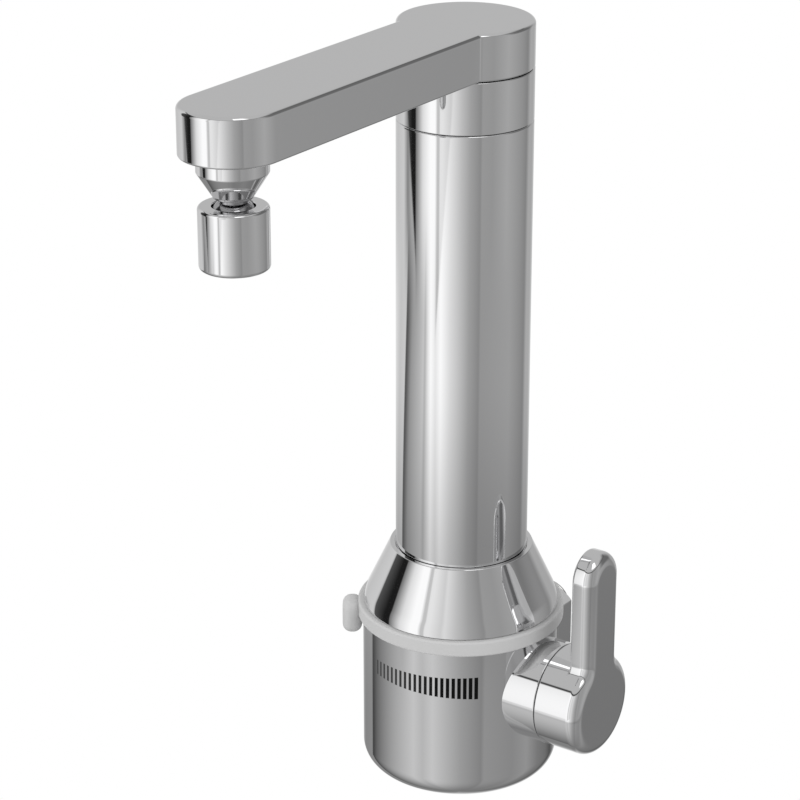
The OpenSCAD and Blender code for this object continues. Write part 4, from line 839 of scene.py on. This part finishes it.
def ease(value, low, high):
    """0 below low, 1 above high, and smooth between them."""
    made = tree.nodes.new("ShaderNodeMapRange")
    made.interpolation_type = "SMOOTHSTEP"
    tree.links.new(value, made.inputs["Value"])
    made.inputs["From Min"].default_value = low
    made.inputs["From Max"].default_value = high
    return made.outputs["Result"]


def fall(value, low, high):
    """1 below low, 0 above high, and smooth between them."""
    return maths("SUBTRACT", 1.0, ease(value, low, high))


def window(value, low, high, soft):
    """1 between low and high, easing to 0 outside them."""
    return times(ease(value, low - soft, low + soft), fall(value, high - soft, high + soft))


def blend(factor, a, b):
    """Colour or grey a where the factor is 0, and b where it is 1."""
    made = tree.nodes.new("ShaderNodeMix")
    made.data_type = "RGBA"
    tree.links.new(factor, made.inputs["Factor"])
    for value, socket in ((a, made.inputs["A"]), (b, made.inputs["B"])):
        if isinstance(value, float):
            socket.default_value = (value, value, value, 1)
        else:
            tree.links.new(value, socket)
    return made.outputs["Result"]


def cloth(angle, *stops):
    """Grey of a cloth at compass angles from -180 to 180 degrees, straight between the stops."""
    made = tree.nodes.new("ShaderNodeValToRGB")
    tree.links.new(maths("MULTIPLY_ADD", angle, 1 / 360, 0.5), made.inputs["Fac"])
    elements = made.color_ramp.elements
    elements[0].position = stops[0][0] / 360 + 0.5
    elements[1].position = stops[-1][0] / 360 + 0.5
    for turn_to, grey in stops[1:-1]:
        elements.new(turn_to / 360 + 0.5)
    for element, (turn_to, grey) in zip(elements, stops):
        element.color = (grey, grey, grey, 1)
    return made.outputs["Color"]


# %% Tell a direction by compass and height
direction = tree.nodes.new("ShaderNodeTexCoord").outputs["Generated"]
axes = []
for vector in (right, (math.sin(TURN), -math.cos(TURN), 0), (0, 0, 1)):
    dot = tree.nodes.new("ShaderNodeVectorMath")
    dot.operation = "DOT_PRODUCT"
    tree.links.new(direction, dot.inputs[0])
    dot.inputs[1].default_value = tuple(float(v) for v in vector)
    axes.append(dot.outputs["Value"])
DEGREES = 180 / math.pi
compass = times(maths("ARCTAN2", axes[0], axes[1]), DEGREES)
height = times(maths("ARCSINE", axes[2]), DEGREES)
print("nodes that tell a direction:", len(tree.nodes))

# %% [markdown]
# The *walls* reach down to about 19 degrees below level. There the *table* begins, which gets
# dimmer as it comes closer, and below 26 degrees its *near* part, which darkens towards the point
# straight down. Its left end is a dark edge that leans, because a straight edge that runs towards
# the tap is seen at another compass angle at each height. A cloth is a list of compass angles and
# of how bright the cloth is there, with 1 for white. All angles are in degrees. The values were
# chosen by comparing one render after another with the photograph.

# %% Hang the walls and lay the table
TABLE_END = -19.0
TABLE_SOFT = 1.5
NEAR_BEGIN, NEAR_FULL = -24, -28.5
DIM_BEGIN, DIM_FULL = -21, -26
DIM_GREY, DIM_SHARE = 0.12, 0.45
NADIR_GREY = 0.2
walls = cloth(
    compass, (-180, 0.74), (-150, 0.58), (-123, 0.66), (-111, 0.24), (-102, 0.42), (-92, 0.5),
    (-89, 0.2), (-82, 0.48), (-75, 0.8), (-60, 1.1), (-38, 1.08), (-24, 0.84), (-6, 0.56), (8, 0.39),
    (25, 0.28), (28, 0.345), (46, 0.33), (74, 0.41), (108, 0.31), (123, 0.25), (134, 0.42),
    (150, 0.41), (180, 0.74))
slow_lean = maths("MULTIPLY_ADD", height, -0.1, -3.0)
full_lean = maths("MULTIPLY_ADD", ease(height, -25, -17.5), -20.0, slow_lean)
lean = times(fall(compass, -85, -60), full_lean)
leaning = maths("ADD", compass, lean)
table = cloth(
    leaning, (-180, 0.8), (-150, 0.6), (-131, 0.66), (-128.5, 0.08), (-123, 0.13), (-112, 0.34),
    (-79, 0.62), (-73, 0.5), (-58, 1.1), (-49, 0.9), (-40, 1.1), (-24, 0.8), (8, 0.38), (25, 0.27),
    (28, 0.33), (84, 0.37), (124, 0.25), (134, 0.43), (150, 0.44), (180, 0.8))
near = cloth(
    leaning, (-180, 0.9), (-168, 0.42), (-156, 0.25), (-131, 0.28), (-128.5, 0.045), (-119, 0.14),
    (-104, 0.26), (-84, 0.42), (-58, 0.61), (-46, 0.52), (-34, 0.62), (0, 0.36), (24, 0.25), (28, 0.31),
    (64, 0.27), (86, 0.32), (106, 0.21), (124, 0.17), (137, 0.085), (145, 0.17), (160, 0.5), (180, 0.9))
ground = blend(ease(height, -95, -28), NADIR_GREY, near)
table = blend(times(fall(height, DIM_FULL, DIM_BEGIN), DIM_SHARE), table, DIM_GREY)
below = blend(ease(height, NEAR_FULL, NEAR_BEGIN), ground, table)
tent = blend(ease(height, TABLE_END - TABLE_SOFT, TABLE_END + TABLE_SOFT), below, walls)
print("nodes with walls and table:", len(tree.nodes))

# %% [markdown]
# On the walls hang a grey *pane* with a darker *bar* down its left side, and left of it a black
# *flag*. The lower ends of both are cut at a slant, which draws the long wedges in the column.
# The *back* wall is dimmer, which calms the flat top of the arm. The ceiling begins behind a
# dark *seam*, which draws the fine dark lines along rounded upper edges, and in it a square
# *lamp* draws their small white spots. The *roof* on the right is in shade.

# %% Hang the pane and the flag
PANE_SHARE, BAR_SHARE = 0.2, 0.25
PANE_SLANT, FLAG_SLANT = -6.0, 0.145
cut = times(fall(compass, -25, -19), fall(maths("MULTIPLY_ADD", height, PANE_SLANT, compass), 72, 75))
pane = times(ease(compass, -51.5, -49.5), cut)
bar = times(window(compass, -48.5, -43.5, 1.2), cut)
tent = blend(maths("MULTIPLY_ADD", pane, PANE_SHARE, times(bar, BAR_SHARE)), tent, 0.0)
flag_foot = ease(maths("MULTIPLY_ADD", compass, FLAG_SLANT, height), -32.4, -31.8)
flag = times(window(compass, -119, -90, 1.5), flag_foot)
tent = blend(flag, tent, cloth(compass, (-180, 0.09), (-119, 0.09), (-99, 0.012), (180, 0.03)))

# %% Add the ceiling, the seam, the lamp and the roof
CEILING, SEAM, LAMP, ROOF = 0.5, 0.06, 1.6, 0.12
back = times(ease(maths("ABSOLUTE", compass), 135, 160), ease(height, 0, 10))
tent = blend(back, tent, CEILING)
tent = blend(ease(height, 35, 39), tent, CEILING)
seam = times(window(height, 33.5, 37.5, 1.2), fall(maths("ABSOLUTE", compass), 130, 150))
tent = blend(seam, tent, SEAM)
lamp = times(window(compass, 8, 48, 3), window(height, 47, 74, 3))
tent = blend(lamp, tent, LAMP)
roof = times(window(compass, 80, 140, 15), window(height, 6, 45, 8), 0.85)
tent = blend(roof, tent, ROOF)
print("nodes in the whole tent:", len(tree.nodes))

# %% Show the tent to mirrors, even light to the rest and white to the camera
EVEN_LIGHT = 0.8
surroundings = []
for colour, strength in ((tent, 1.0), (1.0, EVEN_LIGHT), (1.0, 1.0)):
    background = tree.nodes.new("ShaderNodeBackground")
    background.inputs["Strength"].default_value = strength
    if colour is tent:
        tree.links.new(tent, background.inputs["Color"])
    else:
        background.inputs["Color"].default_value = (colour, colour, colour, 1)
    surroundings.append(background.outputs[0])
mirrored, even, white = surroundings
path = tree.nodes.new("ShaderNodeLightPath")
seen = maths("MAXIMUM", path.outputs["Is Camera Ray"], path.outputs["Is Transmission Ray"])
result = even
for factor, light in ((path.outputs["Is Glossy Ray"], mirrored), (seen, white)):
    mix = tree.nodes.new("ShaderNodeMixShader")
    tree.links.new(factor, mix.inputs[0])
    tree.links.new(result, mix.inputs[1])
    tree.links.new(light, mix.inputs[2])
    result = mix.outputs[0]
output = tree.nodes.new("ShaderNodeOutputWorld")
tree.links.new(result, output.inputs["Surface"])


# %% [markdown]
# ## Lamps and floor
#
# The two lamps are as large as studio softboxes and give the grey plastic its gentle shading. The
# chrome doesn't show them, because the tent already draws its own lamp. The floor is a pale disc
# far below the tap, which only the camera and the shadows know of.

# %% Hang the lamps
def soft_lamp(name, place, size, watts):
    """A square area lamp that faces the middle of the tap."""
    data = bpy.data.lights.new(name, "AREA")
    data.size = size
    data.energy = watts
    lamp = bpy.data.objects.new(name, data)
    back = np.asarray(place) - target
    back = back / np.linalg.norm(back)
    side = np.cross([0, 0, 1], back)
    side = side / np.linalg.norm(side)
    turned = np.eye(4)
    turned[:3] = np.stack([side, np.cross(back, side), back, place], -1)
    lamp.matrix_world = Matrix(turned.tolist())
    lamp.visible_glossy = False
    scene.collection.objects.link(lamp)
    print(name, "lamp of", watts, "watts")


LAMP_SIZE = 0.8
soft_lamp("key", (-0.9, -1.1, 1.1), LAMP_SIZE, 9)
soft_lamp("fill", (1.3, -0.5, 0.6), LAMP_SIZE, 4)

# %% Lay the floor
FLOOR_Z = -0.35
FLOOR_R = 0.42
FLOOR_SIDES = 96
turn = np.linspace(0, 2 * np.pi, FLOOR_SIDES, endpoint=False)
disc = around(FLOOR_R, turn, FLOOR_Z) + AXIS
floor_mesh = bpy.data.meshes.new("floor")
floor_mesh.from_pydata(disc.tolist(), [], [list(range(FLOOR_SIDES))])
floor = bpy.data.objects.new("floor", floor_mesh)
scene.collection.objects.link(floor)
floor.data.materials.append(make_material("pale_floor", (0.86, 0.86, 0.86), 0.0, 0.6, 0.1))
floor.visible_glossy = False
